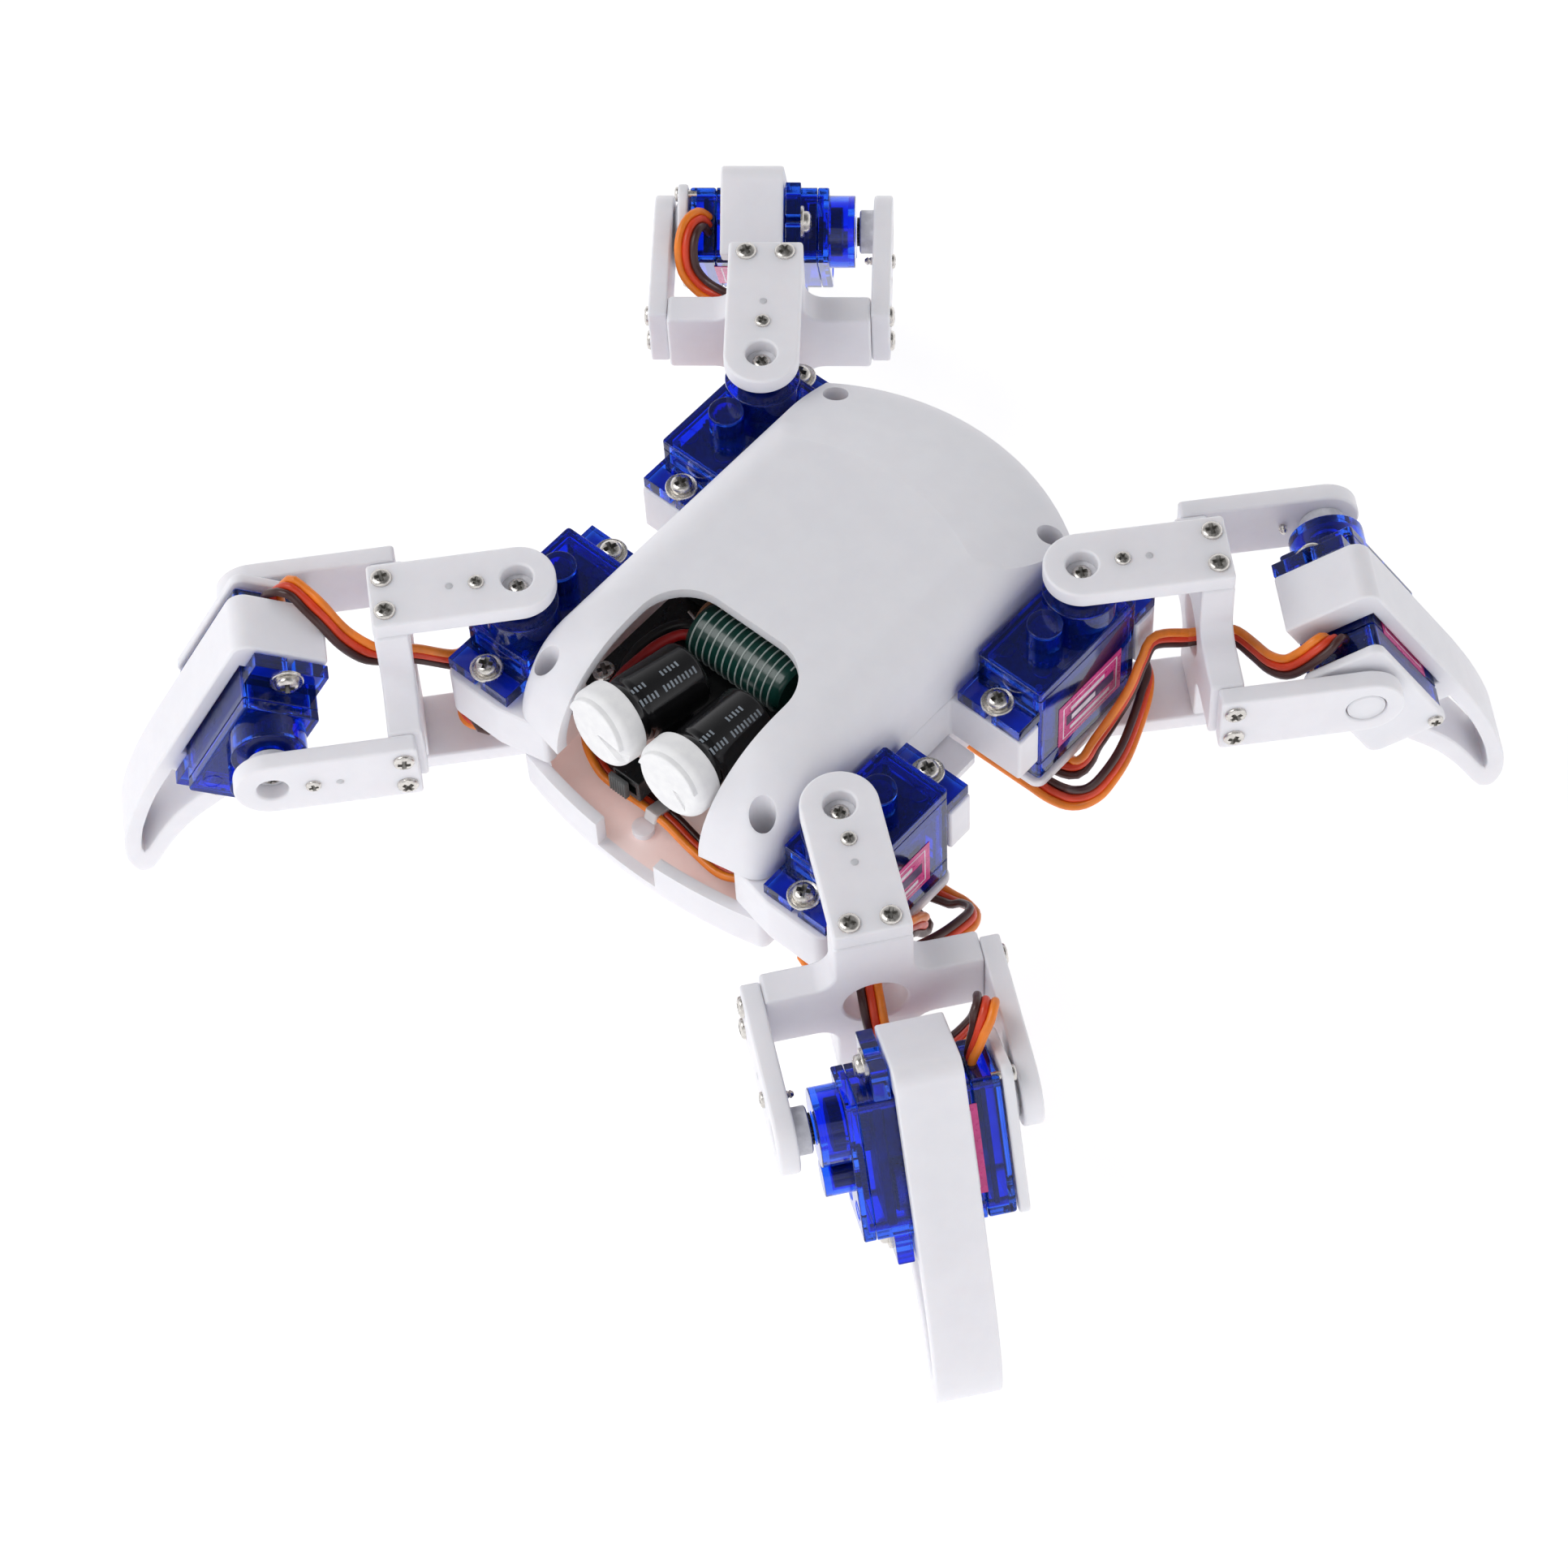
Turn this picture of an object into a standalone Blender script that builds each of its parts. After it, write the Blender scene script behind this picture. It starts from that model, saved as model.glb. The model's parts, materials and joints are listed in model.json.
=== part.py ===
"""Eight-servo quadruped walker: printed body shells, four two-joint legs and their leads.

All dimensions are in millimetres, and the meshes are in metres. X points to the robot's left, Y to its
rear and Z up. The modelling origin lies midway between the four hip axes, at the height of the hip
servos' flange tops. The finished model is moved so that the middle of its footprint is the world origin.

A servo, a holder and a link plate are modelled in their own frames, whose Z axis is the servo's shaft.
A leg's frame has X along the leg, Y to its left and Z up, and turns about the hip axis. Under it, the
knee's frame turns about the knee axis, with X down along the shin and Y outward.
"""

import math

import bmesh
import bpy
from mathutils import Matrix, Vector
from mathutils.geometry import tessellate_polygon

MM = 0.001
GAP = 0.3
CHAMFER_BELOW = 1.0

# Legs: name, side in X, side in Y, heading in degrees from +X, and the side of the leg that the knee
# servo's horn is on, +1 for the leg's own left.
LEGS = (
    ("front_right", -1, -1, 228.9, 1),
    ("front_left", 1, -1, 323.1, -1),
    ("rear_left", 1, 1, 48.2, 1),
    ("rear_right", -1, 1, 129.1, -1),
)
HIP_X = 31.44
HIP_Y = 27.49
KNEE_REACH = 40.2
KNEE_Z = -4.7
KNEE_PITCH = 29.5

# Servo: heights are from its flange top, lengths from its shaft.
SERVO_HALF_WIDTH = 6.1
SERVO_NEAR = -5.9
SERVO_FAR = 16.9
SERVO_BACK = -18.0
SERVO_LID = 4.3
FLANGE_NEAR = -10.6
FLANGE_FAR = 21.6
FLANGE_HALF_WIDTH = 5.9
FLANGE_THICKNESS = 2.5
FLANGE_HOLES = (-8.4, 19.4)
FLANGE_HOLE_RADIUS = 1.1
FLANGE_SLIT = 0.6
GEAR_BOSS_TOP = 8.4
GEAR_BOSS_RADIUS = 5.8
IDLER_BOSS_RADIUS = 2.75
IDLER_BOSS_X = 8.5

# Link plates, which join a servo's shaft or its back pivot to the cross block.
HORN_STACK = 11.4
PIVOT_STACK = 20.8
PLATE_THICKNESS = 3.0
PLATE_HALF_WIDTH = 5.8
PLATE_END = 22.1
HUB_RADIUS = 3.5
HUB_DEPTH = 2.3
SPLINE_RADIUS = 2.3
HORN_HOLE_RADIUS = 2.4

# Holder: the plate under a servo's back, with a disc and a pin that the pivot plate turns on.
HOLDER_NEAR = -7.2
HOLDER_FAR = 17.5
HOLDER_HALF_WIDTH = 6.6
HOLDER_THICKNESS = 1.6
HOLDER_CORNER = 1.8
PIVOT_DISC_RADIUS = 4.5
PIVOT_PIN_RADIUS = 2.9

# Cross block, between the hip plates and the knee plates.
CROSS_INNER = 17.0
CROSS_OUTER = 22.1
CROSS_BORE_RADIUS = 4.75
CROSS_FILLET = 3.0

# Shin, seen from the side: positions run down along the shin and outward from the knee axis.
SHIN_THICKNESS = 10.0
SHIN_OFFSET = 3.1
SHIN_TOP = -11.2
SHIN_BACK = 8.9
SHIN_FRONT = -5.9
SHIN_CORNER = 2.6
BRACKET_TOP = -6.2
BRACKET_BOTTOM = 17.2
BRACKET_BACK = 6.4
CLAW_START = 22.0
KNEE_SERVO_FLANGE = 4.7

# Body shells.
SHELL_BOTTOM = -2.5
SHELL_TOP = 13.8
SHELL_HALF_WIDTH = 24.5
SHELL_SHOULDER_Z = 5.8
SHELL_SHOULDER = 8.0
SHELL_WALL = 2.0
SHELL_FRONT = 40.6
SHELL_TOP_FRONT = 22.0
SHELL_REAR = 42.2
SHELL_TOP_REAR = 22.8
FRONT_CURVE_RADIUS = 94.0
SHELL_REAR_RADIUS = 42.3
SHELL_TOP_REAR_RADIUS = 36.3
SHELL_CORNER = 3.5
SHELL_TOP_CORNER = 8.0
MOUTH_HALF_WIDTH = 14.0
MOUTH_REAR = -11.2
MOUTH_CORNER = 8.0
POST_X = 21.2
POST_Y = 32.8
POST_RADIUS = 3.6
POST_HOLE_RADIUS = 2.0
FRAME_TOP = -2.8
FRAME_BOTTOM = -12.0
FRAME_WALL_X = 23.1
BLOCK_X = 37.7
BLOCK_END_Y = 39.1
RECESS_X = 24.4
RECESS_HALF_WIDTH = 5.6
TRAY_TOP = -12.3
TRAY_BOTTOM = -20.5
TRAY_FLOOR = 1.8
TRAY_WALL = 1.9
TRAY_HALF_WIDTH = 24.2
TRAY_REAR = 40.5
TRAY_REAR_RADIUS = 42.0
LIP_TOP = -13.2
NOTCH_X = -0.7
NOTCH_HALF_WIDTH = 5.8
LEAD_SLOT = (19.0, 15.0)
LEAD_SLOT_HALF = (2.6, 4.8)
LEDGE_X = 29.8
LEDGE_HALF_WIDTH = 5.2
LEDGE_THICKNESS = 1.5
FLOOR_BOSS = (-2.9, -34.1)
FLOOR_BOSS_RADIUS = 1.75
FLOOR_BOSS_HEIGHT = 1.2

# Parts inside the body.
BOARD_TOP = -1.9
BOARD_THICKNESS = 1.6
BOARD_HALF_WIDTH = 20.0
BOARD_FRONT = -27.6
BOARD_REAR = 28.0
BOARD_HOLE = (17.3, -25.2)
BOARD_HOLE_RADIUS = 1.2
BATTERY_HALF_WIDTH = 14.5
BATTERY_FRONT = -16.0
BATTERY_REAR = 33.0
BATTERY_HEIGHT = 10.2
CAPACITOR_REAR_X = (-5.3, 6.95)
CAPACITOR_REAR_Y = -19.5
CAPACITOR_REAR_Z = 4.6
CAPACITOR_SPLAY = (6.5, 0.0)
CAPACITOR_RADIUS = 5.3
CAPACITOR_LENGTH = 13.7
CAPACITOR_TILT = 8.5
EYE_CAP_RADIUS = 6.4
EYE_CAP_LENGTH = 4.9
EYE_CAP_TURN = -31
EYE_CAP_EDGE = 1.4
COIL_RADIUS = 4.8
COIL_CENTRE = (-0.7, -11.0, 3.2)
COIL_LENGTH = 18.5
SWITCH_CENTRE = (-6.0, -32.0, -9.6)
SWITCH_TRAVEL = 1.7
SWITCH_HALF = 2.6
SWITCH_FRONT = -1.7
SWITCH_REAR = 2.2
SWITCH_HALF_HEIGHT = 2.3
CHANNEL_HALF_LENGTH = 2.0
CHANNEL_HALF_HEIGHT = 1.1
CHANNEL_FLOOR = -0.9
SLIDER_FLOOR = -1.2
SLIDER_NECK = (0.85, 0.8)
GRIP_BACK = -2.05
GRIP_FRONT = -2.9
GRIP_HALF = (1.7, 1.9)

LEAD_RADIUS = 1.3
HARNESS_RADIUS = 1.6
LEAD_STEP = 3.2
LEAD_END_GAP = 0.75
KNEE_LEAD_EXIT = 10.3

COLOURS = {
    "white": ((0.84, 0.83, 0.87), 0.42, 0.0),
    "blue": ((0.02, 0.06, 0.42), 0.18, 0.0),
    "black": ((0.012, 0.012, 0.014), 0.3, 0.0),
    "board": ((0.015, 0.018, 0.018), 0.45, 0.0),
    "green": ((0.01, 0.06, 0.045), 0.3, 0.0),
    "grey": ((0.16, 0.17, 0.17), 0.5, 0.0),
    "silver": ((0.5, 0.52, 0.55), 0.4, 0.3),
    "orange": ((0.75, 0.16, 0.02), 0.4, 0.0),
}


# ---------------------------------------------------------------- outlines

def arc(x, y, radius, start, end, steps):
    """Points on an arc, with the angles in degrees and both ends included."""
    angles = [math.radians(start + (end - start) * i / steps) for i in range(steps + 1)]
    return [(x + radius * math.cos(a), y + radius * math.sin(a)) for a in angles]


def circle(x, y, radius, steps=16):
    return arc(x, y, radius, 0, 360, steps)[:-1]


def rounded(corners, arc_steps=3):
    """A closed outline through (x, y, radius) corners, each rounded by its radius."""
    points = []
    for i, (x, y, radius) in enumerate(corners):
        here = Vector((x, y))
        back = Vector(corners[i - 1][:2]) - here
        ahead = Vector(corners[(i + 1) % len(corners)][:2]) - here
        if radius == 0:
            points.append((x, y))
            continue
        half = back.angle(ahead) / 2
        centre = here + (back.normalized() + ahead.normalized()).normalized() * radius / math.sin(half)
        first = here + back.normalized() * radius / math.tan(half) - centre
        turn = first.angle_signed(here + ahead.normalized() * radius / math.tan(half) - centre)
        steps = 1 if radius < CHAMFER_BELOW else arc_steps
        for step in range(steps + 1):
            spoke = first.copy()
            spoke.rotate(Matrix.Rotation(-turn * step / steps, 2))
            points.append(tuple(centre + spoke))
    return points


def rounded_rectangle(x0, x1, y0, y1, radius):
    return rounded([(x0, y0, radius), (x1, y0, radius), (x1, y1, radius), (x0, y1, radius)])


def smooth_path(points, step):
    """Evenly spaced points on a smooth curve through the given ones."""
    points = [Vector(p) for p in points]
    padded = [2 * points[0] - points[1], *points, 2 * points[-1] - points[-2]]
    fine = []
    for a, b, c, d in zip(padded, padded[1:], padded[2:], padded[3:]):
        for i in range(12):
            t = i / 12
            fine.append(b + (c - a) * t / 2 + (2 * a - 5 * b + 4 * c - d) * t * t / 2
                        + (3 * b - a - 3 * c + d) * t ** 3 / 2)
    fine.append(points[-1])
    lengths = [0.0]
    for a, b in zip(fine, fine[1:]):
        lengths.append(lengths[-1] + (b - a).length)
    count = max(2, round(lengths[-1] / step))
    path, k = [], 0
    for i in range(count + 1):
        at = lengths[-1] * i / count
        while k < len(fine) - 2 and lengths[k + 1] < at:
            k += 1
        path.append(fine[k].lerp(fine[k + 1], (at - lengths[k]) / (lengths[k + 1] - lengths[k])))
    return path


# ---------------------------------------------------------------- meshes

def closed_mesh(vertices, faces):
    """A mesh in metres from vertices in millimetres, with its faces pointing out."""
    built = bmesh.new()
    corners = [built.verts.new(Vector(v) * MM) for v in vertices]
    for face in faces:
        built.faces.new([corners[i] for i in face])
    bmesh.ops.recalc_face_normals(built, faces=built.faces)
    mesh = bpy.data.meshes.new("solid")
    built.to_mesh(mesh)
    built.free()
    return mesh


def slab(outline, bottom, top, holes=()):
    """An outline with holes, extruded along Z."""
    loops = [list(outline), *(list(hole) for hole in holes)]
    flat = [point for loop in loops for point in loop]
    count = len(flat)
    vertices = [(x, y, bottom) for x, y in flat] + [(x, y, top) for x, y in flat]
    triangles = tessellate_polygon([[Vector((x, y, 0)) for x, y in loop] for loop in loops])
    faces = [tuple(t) for t in triangles] + [tuple(i + count for i in t) for t in triangles]
    start = 0
    for loop in loops:
        for i in range(len(loop)):
            a, b = start + i, start + (i + 1) % len(loop)
            faces.append((a, b, b + count, a + count))
        start += len(loop)
    return closed_mesh(vertices, faces)


def loft(rings):
    """A closed solid through rings of equally many points, with flat ends."""
    count = len(rings[0])
    vertices = [point for ring in rings for point in ring]
    faces = []
    for level in range(len(rings) - 1):
        for i in range(count):
            a, b = level * count + i, level * count + (i + 1) % count
            faces.append((a, b, b + count, a + count))
    first = [Vector(p) for p in rings[0]]
    last = [Vector(p) for p in rings[-1]]
    faces += [tuple(t) for t in tessellate_polygon([first])]
    top = (len(rings) - 1) * count
    faces += [tuple(i + top for i in t) for t in tessellate_polygon([last])]
    return closed_mesh(vertices, faces)


def turned(profile, steps=20):
    """A solid of revolution about Z from (radius, height) points, whose two ends are flat discs."""
    rings = []
    for radius, height in profile:
        rings.append([(x, y, height) for x, y in circle(0, 0, radius, steps)])
    return loft(rings)


def combined(base, others, operation):
    """The base mesh with the others joined on (UNION), cut away (DIFFERENCE) or kept to (INTERSECT)."""
    scratch = [bpy.data.objects.new("scratch", mesh) for mesh in (base, *others)]
    for thing in scratch:
        bpy.context.scene.collection.objects.link(thing)
    for other in scratch[1:]:
        modifier = scratch[0].modifiers.new("shape", "BOOLEAN")
        modifier.operation = operation
        modifier.object = other
    bpy.context.view_layer.update()
    result = bpy.data.meshes.new_from_object(scratch[0].evaluated_get(bpy.context.evaluated_depsgraph_get()))
    for thing in scratch:
        bpy.data.objects.remove(thing)
    return result


def frame(origin, x_axis, z_axis):
    """The matrix of a frame from its origin, in millimetres, its X axis and its Z axis."""
    x, z = Vector(x_axis).normalized(), Vector(z_axis).normalized()
    matrix = Matrix((x, z.cross(x), z)).transposed().to_4x4()
    matrix.translation = Vector(origin) * MM
    return matrix


def shift(x, y, z):
    return Matrix.Translation(Vector((x, y, z)) * MM)


# ---------------------------------------------------------------- servo, holder and link plates

def flange_outline():
    """The flange, with a screw hole at each end that opens outward through a slit."""
    half = FLANGE_HALF_WIDTH
    near, far = FLANGE_HOLES
    mouth = math.degrees(math.asin(FLANGE_SLIT / FLANGE_HOLE_RADIUS))
    near_hole = arc(near, 0, FLANGE_HOLE_RADIUS, 180 - mouth, -180 + mouth, 7)
    far_hole = arc(far, 0, FLANGE_HOLE_RADIUS, -mouth, -360 + mouth, 7)
    return [
        (FLANGE_NEAR, FLANGE_SLIT), *near_hole, (FLANGE_NEAR, -FLANGE_SLIT), (FLANGE_NEAR, -half),
        (FLANGE_FAR, -half), (FLANGE_FAR, -FLANGE_SLIT), *far_hole, (FLANGE_FAR, FLANGE_SLIT),
        (FLANGE_FAR, half), (FLANGE_NEAR, half),
    ]


def servo_mesh():
    case = slab(rounded_rectangle(SERVO_NEAR, SERVO_FAR, -SERVO_HALF_WIDTH, SERVO_HALF_WIDTH, 0.5),
                SERVO_BACK, SERVO_LID)
    flange = slab(flange_outline(), -FLANGE_THICKNESS, 0)
    inside = SERVO_LID - 1
    gear_boss = slab(circle(0, 0, GEAR_BOSS_RADIUS, 20), inside, GEAR_BOSS_TOP)
    idler_boss = slab(circle(IDLER_BOSS_X, 0, IDLER_BOSS_RADIUS, 10), inside, GEAR_BOSS_TOP)
    return combined(case, [flange, gear_boss, idler_boss], "UNION")


def holder_mesh():
    """The plate under a servo's back, with the pin that a pivot plate turns on."""
    plate_top = SERVO_BACK - GAP
    disc_top = plate_top - HOLDER_THICKNESS
    disc_bottom = GAP - PIVOT_STACK
    pin_end = 0.1 - PIVOT_STACK - PLATE_THICKNESS
    half = HOLDER_HALF_WIDTH
    plate = slab(rounded_rectangle(HOLDER_NEAR, HOLDER_FAR, -half, half, HOLDER_CORNER), disc_top, plate_top)
    disc = slab(circle(0, 0, PIVOT_DISC_RADIUS, 14), disc_bottom, disc_top + 0.5)
    pin = slab(circle(0, 0, PIVOT_PIN_RADIUS, 14), pin_end, disc_top + 0.7)
    return combined(plate, [disc, pin], "UNION")


def plate_outline():
    """A link plate, round about its shaft and square at its end."""
    half = PLATE_HALF_WIDTH
    square_end = [(0, -half, 0), (PLATE_END, -half, 0.6), (PLATE_END, half, 0.6), (0, half, 0)]
    return [*arc(0, 0, half, 90, 270, 10)[1:-1], *rounded(square_end)]


def horn_plate_mesh():
    """A link plate with the servo horn's hub and spline fixed in it."""
    plate = slab(plate_outline(), 0, PLATE_THICKNESS, [circle(0, 0, HORN_HOLE_RADIUS, 12)])
    hub = slab(circle(0, 0, HUB_RADIUS, 14), -HUB_DEPTH, 0.4)
    spline_end = GEAR_BOSS_TOP + GAP - HORN_STACK
    spline = slab(circle(0, 0, SPLINE_RADIUS, 10), spline_end, -1)
    return combined(plate, [hub, spline], "UNION")


def pivot_plate_mesh():
    return slab(plate_outline(), 0, PLATE_THICKNESS, [circle(0, 0, PIVOT_PIN_RADIUS + GAP, 14)])


def cross_mesh():
    """The cross block, drawn across the leg and up, and extruded along the leg."""
    half = PLATE_HALF_WIDTH
    top = HORN_STACK - GAP
    bottom = GAP - PIVOT_STACK
    arm = side_plate_face() - GAP
    upper, lower = KNEE_Z + half, KNEE_Z - half
    edge, fillet = 0.6, CROSS_FILLET
    outline = rounded([
        (half, top, edge), (-half, top, edge), (-half, upper, fillet), (-arm, upper, edge),
        (-arm, lower, edge), (-half, lower, fillet), (-half, bottom, edge), (half, bottom, edge),
        (half, lower, fillet), (arm, lower, edge), (arm, upper, edge), (half, upper, fillet),
    ])
    return slab(outline, CROSS_INNER, CROSS_OUTER, [circle(0, KNEE_Z, CROSS_BORE_RADIUS)])


def side_plate_face():
    """How far the knee plates' inner faces are from the leg's middle plane."""
    return (HORN_STACK + PIVOT_STACK) / 2


def shin_mesh():
    """The shin: a bracket open towards the body for the knee servo, over a curved claw."""
    claw_back = smooth_path([(CLAW_START, SHIN_BACK, 0), (30, 8.5, 0), (38, 7.4, 0), (43.5, 5.9, 0),
                             (47.3, 3.9, 0), (49.4, 1.6, 0), (49.5, 0.2, 0), (48.4, -0.8, 0)], 2.4)
    claw_front = smooth_path([(46.5, -1.0, 0), (40, -1.1, 0), (34, -2.0, 0), (28, -4.0, 0),
                              (CLAW_START + 0.5, SHIN_FRONT, 0)], 3.5)
    edge = 0.5
    head = rounded([
        (CLAW_START + 0.5, SHIN_FRONT, 0), (BRACKET_BOTTOM, SHIN_FRONT, edge),
        (BRACKET_BOTTOM, BRACKET_BACK, 0), (BRACKET_TOP, BRACKET_BACK, 0), (BRACKET_TOP, SHIN_FRONT, edge),
        (SHIN_TOP, SHIN_FRONT, edge), (SHIN_TOP, SHIN_BACK, SHIN_CORNER), (0, SHIN_BACK, 0),
    ])
    outline = [*head, *((p.x, p.y) for p in claw_back), *((p.x, p.y) for p in claw_front[:-1])]
    window_curve = smooth_path([(22, 6.2, 0), (30, 6.0, 0), (37.5, 4.9, 0), (42, 3.6, 0), (44.2, 2.6, 0),
                                (43.8, 1.9, 0), (38, 1.8, 0), (33, 1.3, 0), (27, -0.4, 0),
                                (22, -2.6, 0)], 2.6)
    window = [(p.x, p.y) for p in window_curve]
    return slab(outline, -SHIN_THICKNESS / 2, SHIN_THICKNESS / 2, [window])


# ---------------------------------------------------------------- body shells

def bowed(y_middle, radius, half_width, steps, side):
    """Points on a shallow arc across the body from -half_width to half_width, bulging to one side."""
    points = []
    for i in range(steps + 1):
        x = half_width * (2 * i / steps - 1)
        points.append((x, side * (y_middle - radius + math.sqrt(radius * radius - x * x))))
    return points


def shell_ring(z, inset):
    """The shell's outline at one height, drawn inward by a wall's thickness."""
    shoulder_z, shoulder = SHELL_SHOULDER_Z, SHELL_SHOULDER - inset
    rise = max(0.0, z - shoulder_z)
    half = SHELL_HALF_WIDTH - inset - shoulder + math.sqrt(max(0.0, shoulder ** 2 - rise ** 2))
    height = SHELL_TOP - SHELL_BOTTOM - inset
    up = min(1.0, (z - SHELL_BOTTOM) / height)
    bulge = SHELL_FRONT - SHELL_TOP_FRONT - inset
    front = SHELL_TOP_FRONT + bulge * math.sqrt(max(0.0, 1 - up * up))
    slope = min(1.0, rise / shoulder)
    rear = SHELL_REAR - inset - (SHELL_REAR - SHELL_TOP_REAR - inset * 0.2) * slope
    rear_radius = SHELL_REAR_RADIUS - (SHELL_REAR_RADIUS - SHELL_TOP_REAR_RADIUS) * slope - inset
    corner = SHELL_CORNER + (SHELL_TOP_CORNER - SHELL_CORNER) * up
    front_points = bowed(front, FRONT_CURVE_RADIUS, half, 8, -1)
    rear_points = bowed(rear, rear_radius, half, 10, 1)[::-1]
    ring = [(x, y, 0) for x, y in front_points + rear_points]
    ring[0] = (*front_points[0], corner)
    ring[8] = (*front_points[8], corner)
    spaced = [p for i, p in enumerate(ring) if i not in (1, 2, 6, 7)]
    return [(x, y, z) for x, y in rounded(spaced, 4)]


def shell_levels(top):
    """Heights of the shell's rings, closer together where the roof turns over."""
    levels = [SHELL_BOTTOM, 1.5, SHELL_SHOULDER_Z]
    span = top - SHELL_SHOULDER_Z
    levels += [SHELL_SHOULDER_Z + span * math.sin(math.radians(a)) for a in (18, 36, 54, 72, 90)]
    return levels


def mouth_outline():
    """The opening in the shell's roof, rounded at the rear and open to the front."""
    half, ahead = MOUTH_HALF_WIDTH, -SHELL_FRONT - 5
    return rounded([(-half, ahead, 0), (half, ahead, 0), (half, MOUTH_REAR, MOUTH_CORNER),
                    (-half, MOUTH_REAR, MOUTH_CORNER)], 6)


def corner_posts():
    """The places of the four screw posts."""
    return [(x * POST_X, y * POST_Y) for x in (-1, 1) for y in (-1, 1)]


def top_shell_mesh():
    outer = loft([shell_ring(z, 0) for z in shell_levels(SHELL_TOP)])
    roof = SHELL_TOP - SHELL_WALL
    cavity_rings = [shell_ring(z, SHELL_WALL) for z in shell_levels(roof)]
    cavity_rings[0] = [(x, y, SHELL_BOTTOM - 1) for x, y, z in cavity_rings[0]]
    cavity = loft(cavity_rings)
    posts = [slab(circle(x, y, POST_RADIUS, 16), SHELL_BOTTOM - 1, SHELL_TOP + 1) for x, y in corner_posts()]
    cavity = combined(cavity, posts, "DIFFERENCE")
    mouth = slab(mouth_outline(), SHELL_BOTTOM - 2, SHELL_TOP + 2)
    holes = [slab(circle(x, y, POST_HOLE_RADIUS, 16), 0, SHELL_TOP + 1) for x, y in corner_posts()]
    return combined(outer, [cavity, mouth, *holes], "DIFFERENCE")


def mid_frame_mesh():
    """The frame that holds the four hip servos: two walls, eight blocks and the rear curve."""
    block, end, wall = BLOCK_X, BLOCK_END_Y, HIP_X - SERVO_HALF_WIDTH - GAP
    front_gap, inner_gap = HIP_Y - SERVO_NEAR + GAP, HIP_Y - SERVO_FAR - GAP
    middle, edge = RECESS_HALF_WIDTH, 0.5
    right = [
        (18.6, -37.4, 1.0), (27.0, -end, 4.0), (block, -end, 2.2), (block, -front_gap, edge),
        (wall, -front_gap, 0), (wall, -inner_gap, 0), (block, -inner_gap, edge), (block, -middle, edge),
        (RECESS_X, -middle, edge), (RECESS_X, middle, edge), (block, middle, edge), (block, inner_gap, edge),
        (wall, inner_gap, 0), (wall, front_gap, 0), (block, front_gap, edge), (block, end, 2.2),
        (27.0, end, 4.0), (22.0, 34.6, 0.0),
    ]
    rear_outer = [(x, y, 0) for x, y in bowed(TRAY_REAR, TRAY_REAR_RADIUS, 20, 10, 1)[::-1]]
    left = [(-x, y, r) for x, y, r in reversed(right)]
    inner_radius = TRAY_REAR_RADIUS - TRAY_WALL
    rear_inner = [(x, y, 0) for x, y in bowed(TRAY_REAR - TRAY_WALL, inner_radius, FRAME_WALL_X, 10, 1)]
    inside = [(-18.6, -35.4, 0.5), (-FRAME_WALL_X, -33.0, 3.0), *rear_inner,
              (FRAME_WALL_X, -33.0, 3.0), (18.6, -35.4, 0.5)]
    return slab(rounded([*right, *rear_outer, *left, *inside]), FRAME_BOTTOM, FRAME_TOP)


def tray_outline(inset):
    half = TRAY_HALF_WIDTH - inset
    front = bowed(SHELL_FRONT - inset, FRONT_CURVE_RADIUS, half, 8, -1)
    rear = bowed(TRAY_REAR - inset, TRAY_REAR_RADIUS - inset, half, 10, 1)[::-1]
    corners = [(x, y, 0) for x, y in front + rear]
    corners[0] = (*front[0], 2.0)
    corners[8] = (*front[8], 2.0)
    return rounded(corners, 3)


def bottom_tray_mesh():
    floor_top = TRAY_BOTTOM + TRAY_FLOOR
    tray = slab(tray_outline(0), TRAY_BOTTOM, TRAY_TOP)
    cavity = slab(tray_outline(TRAY_WALL), floor_top, TRAY_TOP + 1)
    ahead = -SHELL_FRONT - 5
    lip_cut = slab(rounded_rectangle(-30, 30, ahead, -36.8, 0.5), LIP_TOP, TRAY_TOP + 1)
    notch = slab(rounded_rectangle(NOTCH_X - NOTCH_HALF_WIDTH, NOTCH_X + NOTCH_HALF_WIDTH, ahead, -37, 0.5),
                 floor_top, TRAY_TOP + 1)
    cuts = [cavity, lip_cut, notch]
    for side_x in (-1, 1):
        for side_y in (-1, 1):
            x, y = LEAD_SLOT[0] * side_x, LEAD_SLOT[1] * side_y
            half_x, half_y = LEAD_SLOT_HALF
            cuts.append(slab(rounded_rectangle(x - half_x, x + half_x, y - half_y, y + half_y, half_x - 0.1),
                             TRAY_BOTTOM - 1, floor_top + 1))
    tray = combined(tray, cuts, "DIFFERENCE")
    ledge_inner = TRAY_HALF_WIDTH - 1
    half = LEDGE_HALF_WIDTH
    ledges = [slab(rounded_rectangle(x0, x1, -half, half, 0.8), TRAY_TOP - LEDGE_THICKNESS, TRAY_TOP)
              for x0, x1 in ((ledge_inner, LEDGE_X), (-LEDGE_X, -ledge_inner))]
    boss = slab(circle(*FLOOR_BOSS, FLOOR_BOSS_RADIUS, 14), floor_top - 0.5, floor_top + FLOOR_BOSS_HEIGHT)
    return combined(tray, [*ledges, boss], "UNION")


# ---------------------------------------------------------------- parts inside the body

def controller_board_mesh():
    half = BOARD_HALF_WIDTH
    holes = [circle(BOARD_HOLE[0] * side, BOARD_HOLE[1], BOARD_HOLE_RADIUS, 12) for side in (-1, 1)]
    return slab(rounded_rectangle(-half, half, BOARD_FRONT, BOARD_REAR, 1.5), BOARD_TOP - BOARD_THICKNESS,
                BOARD_TOP, holes)


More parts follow.
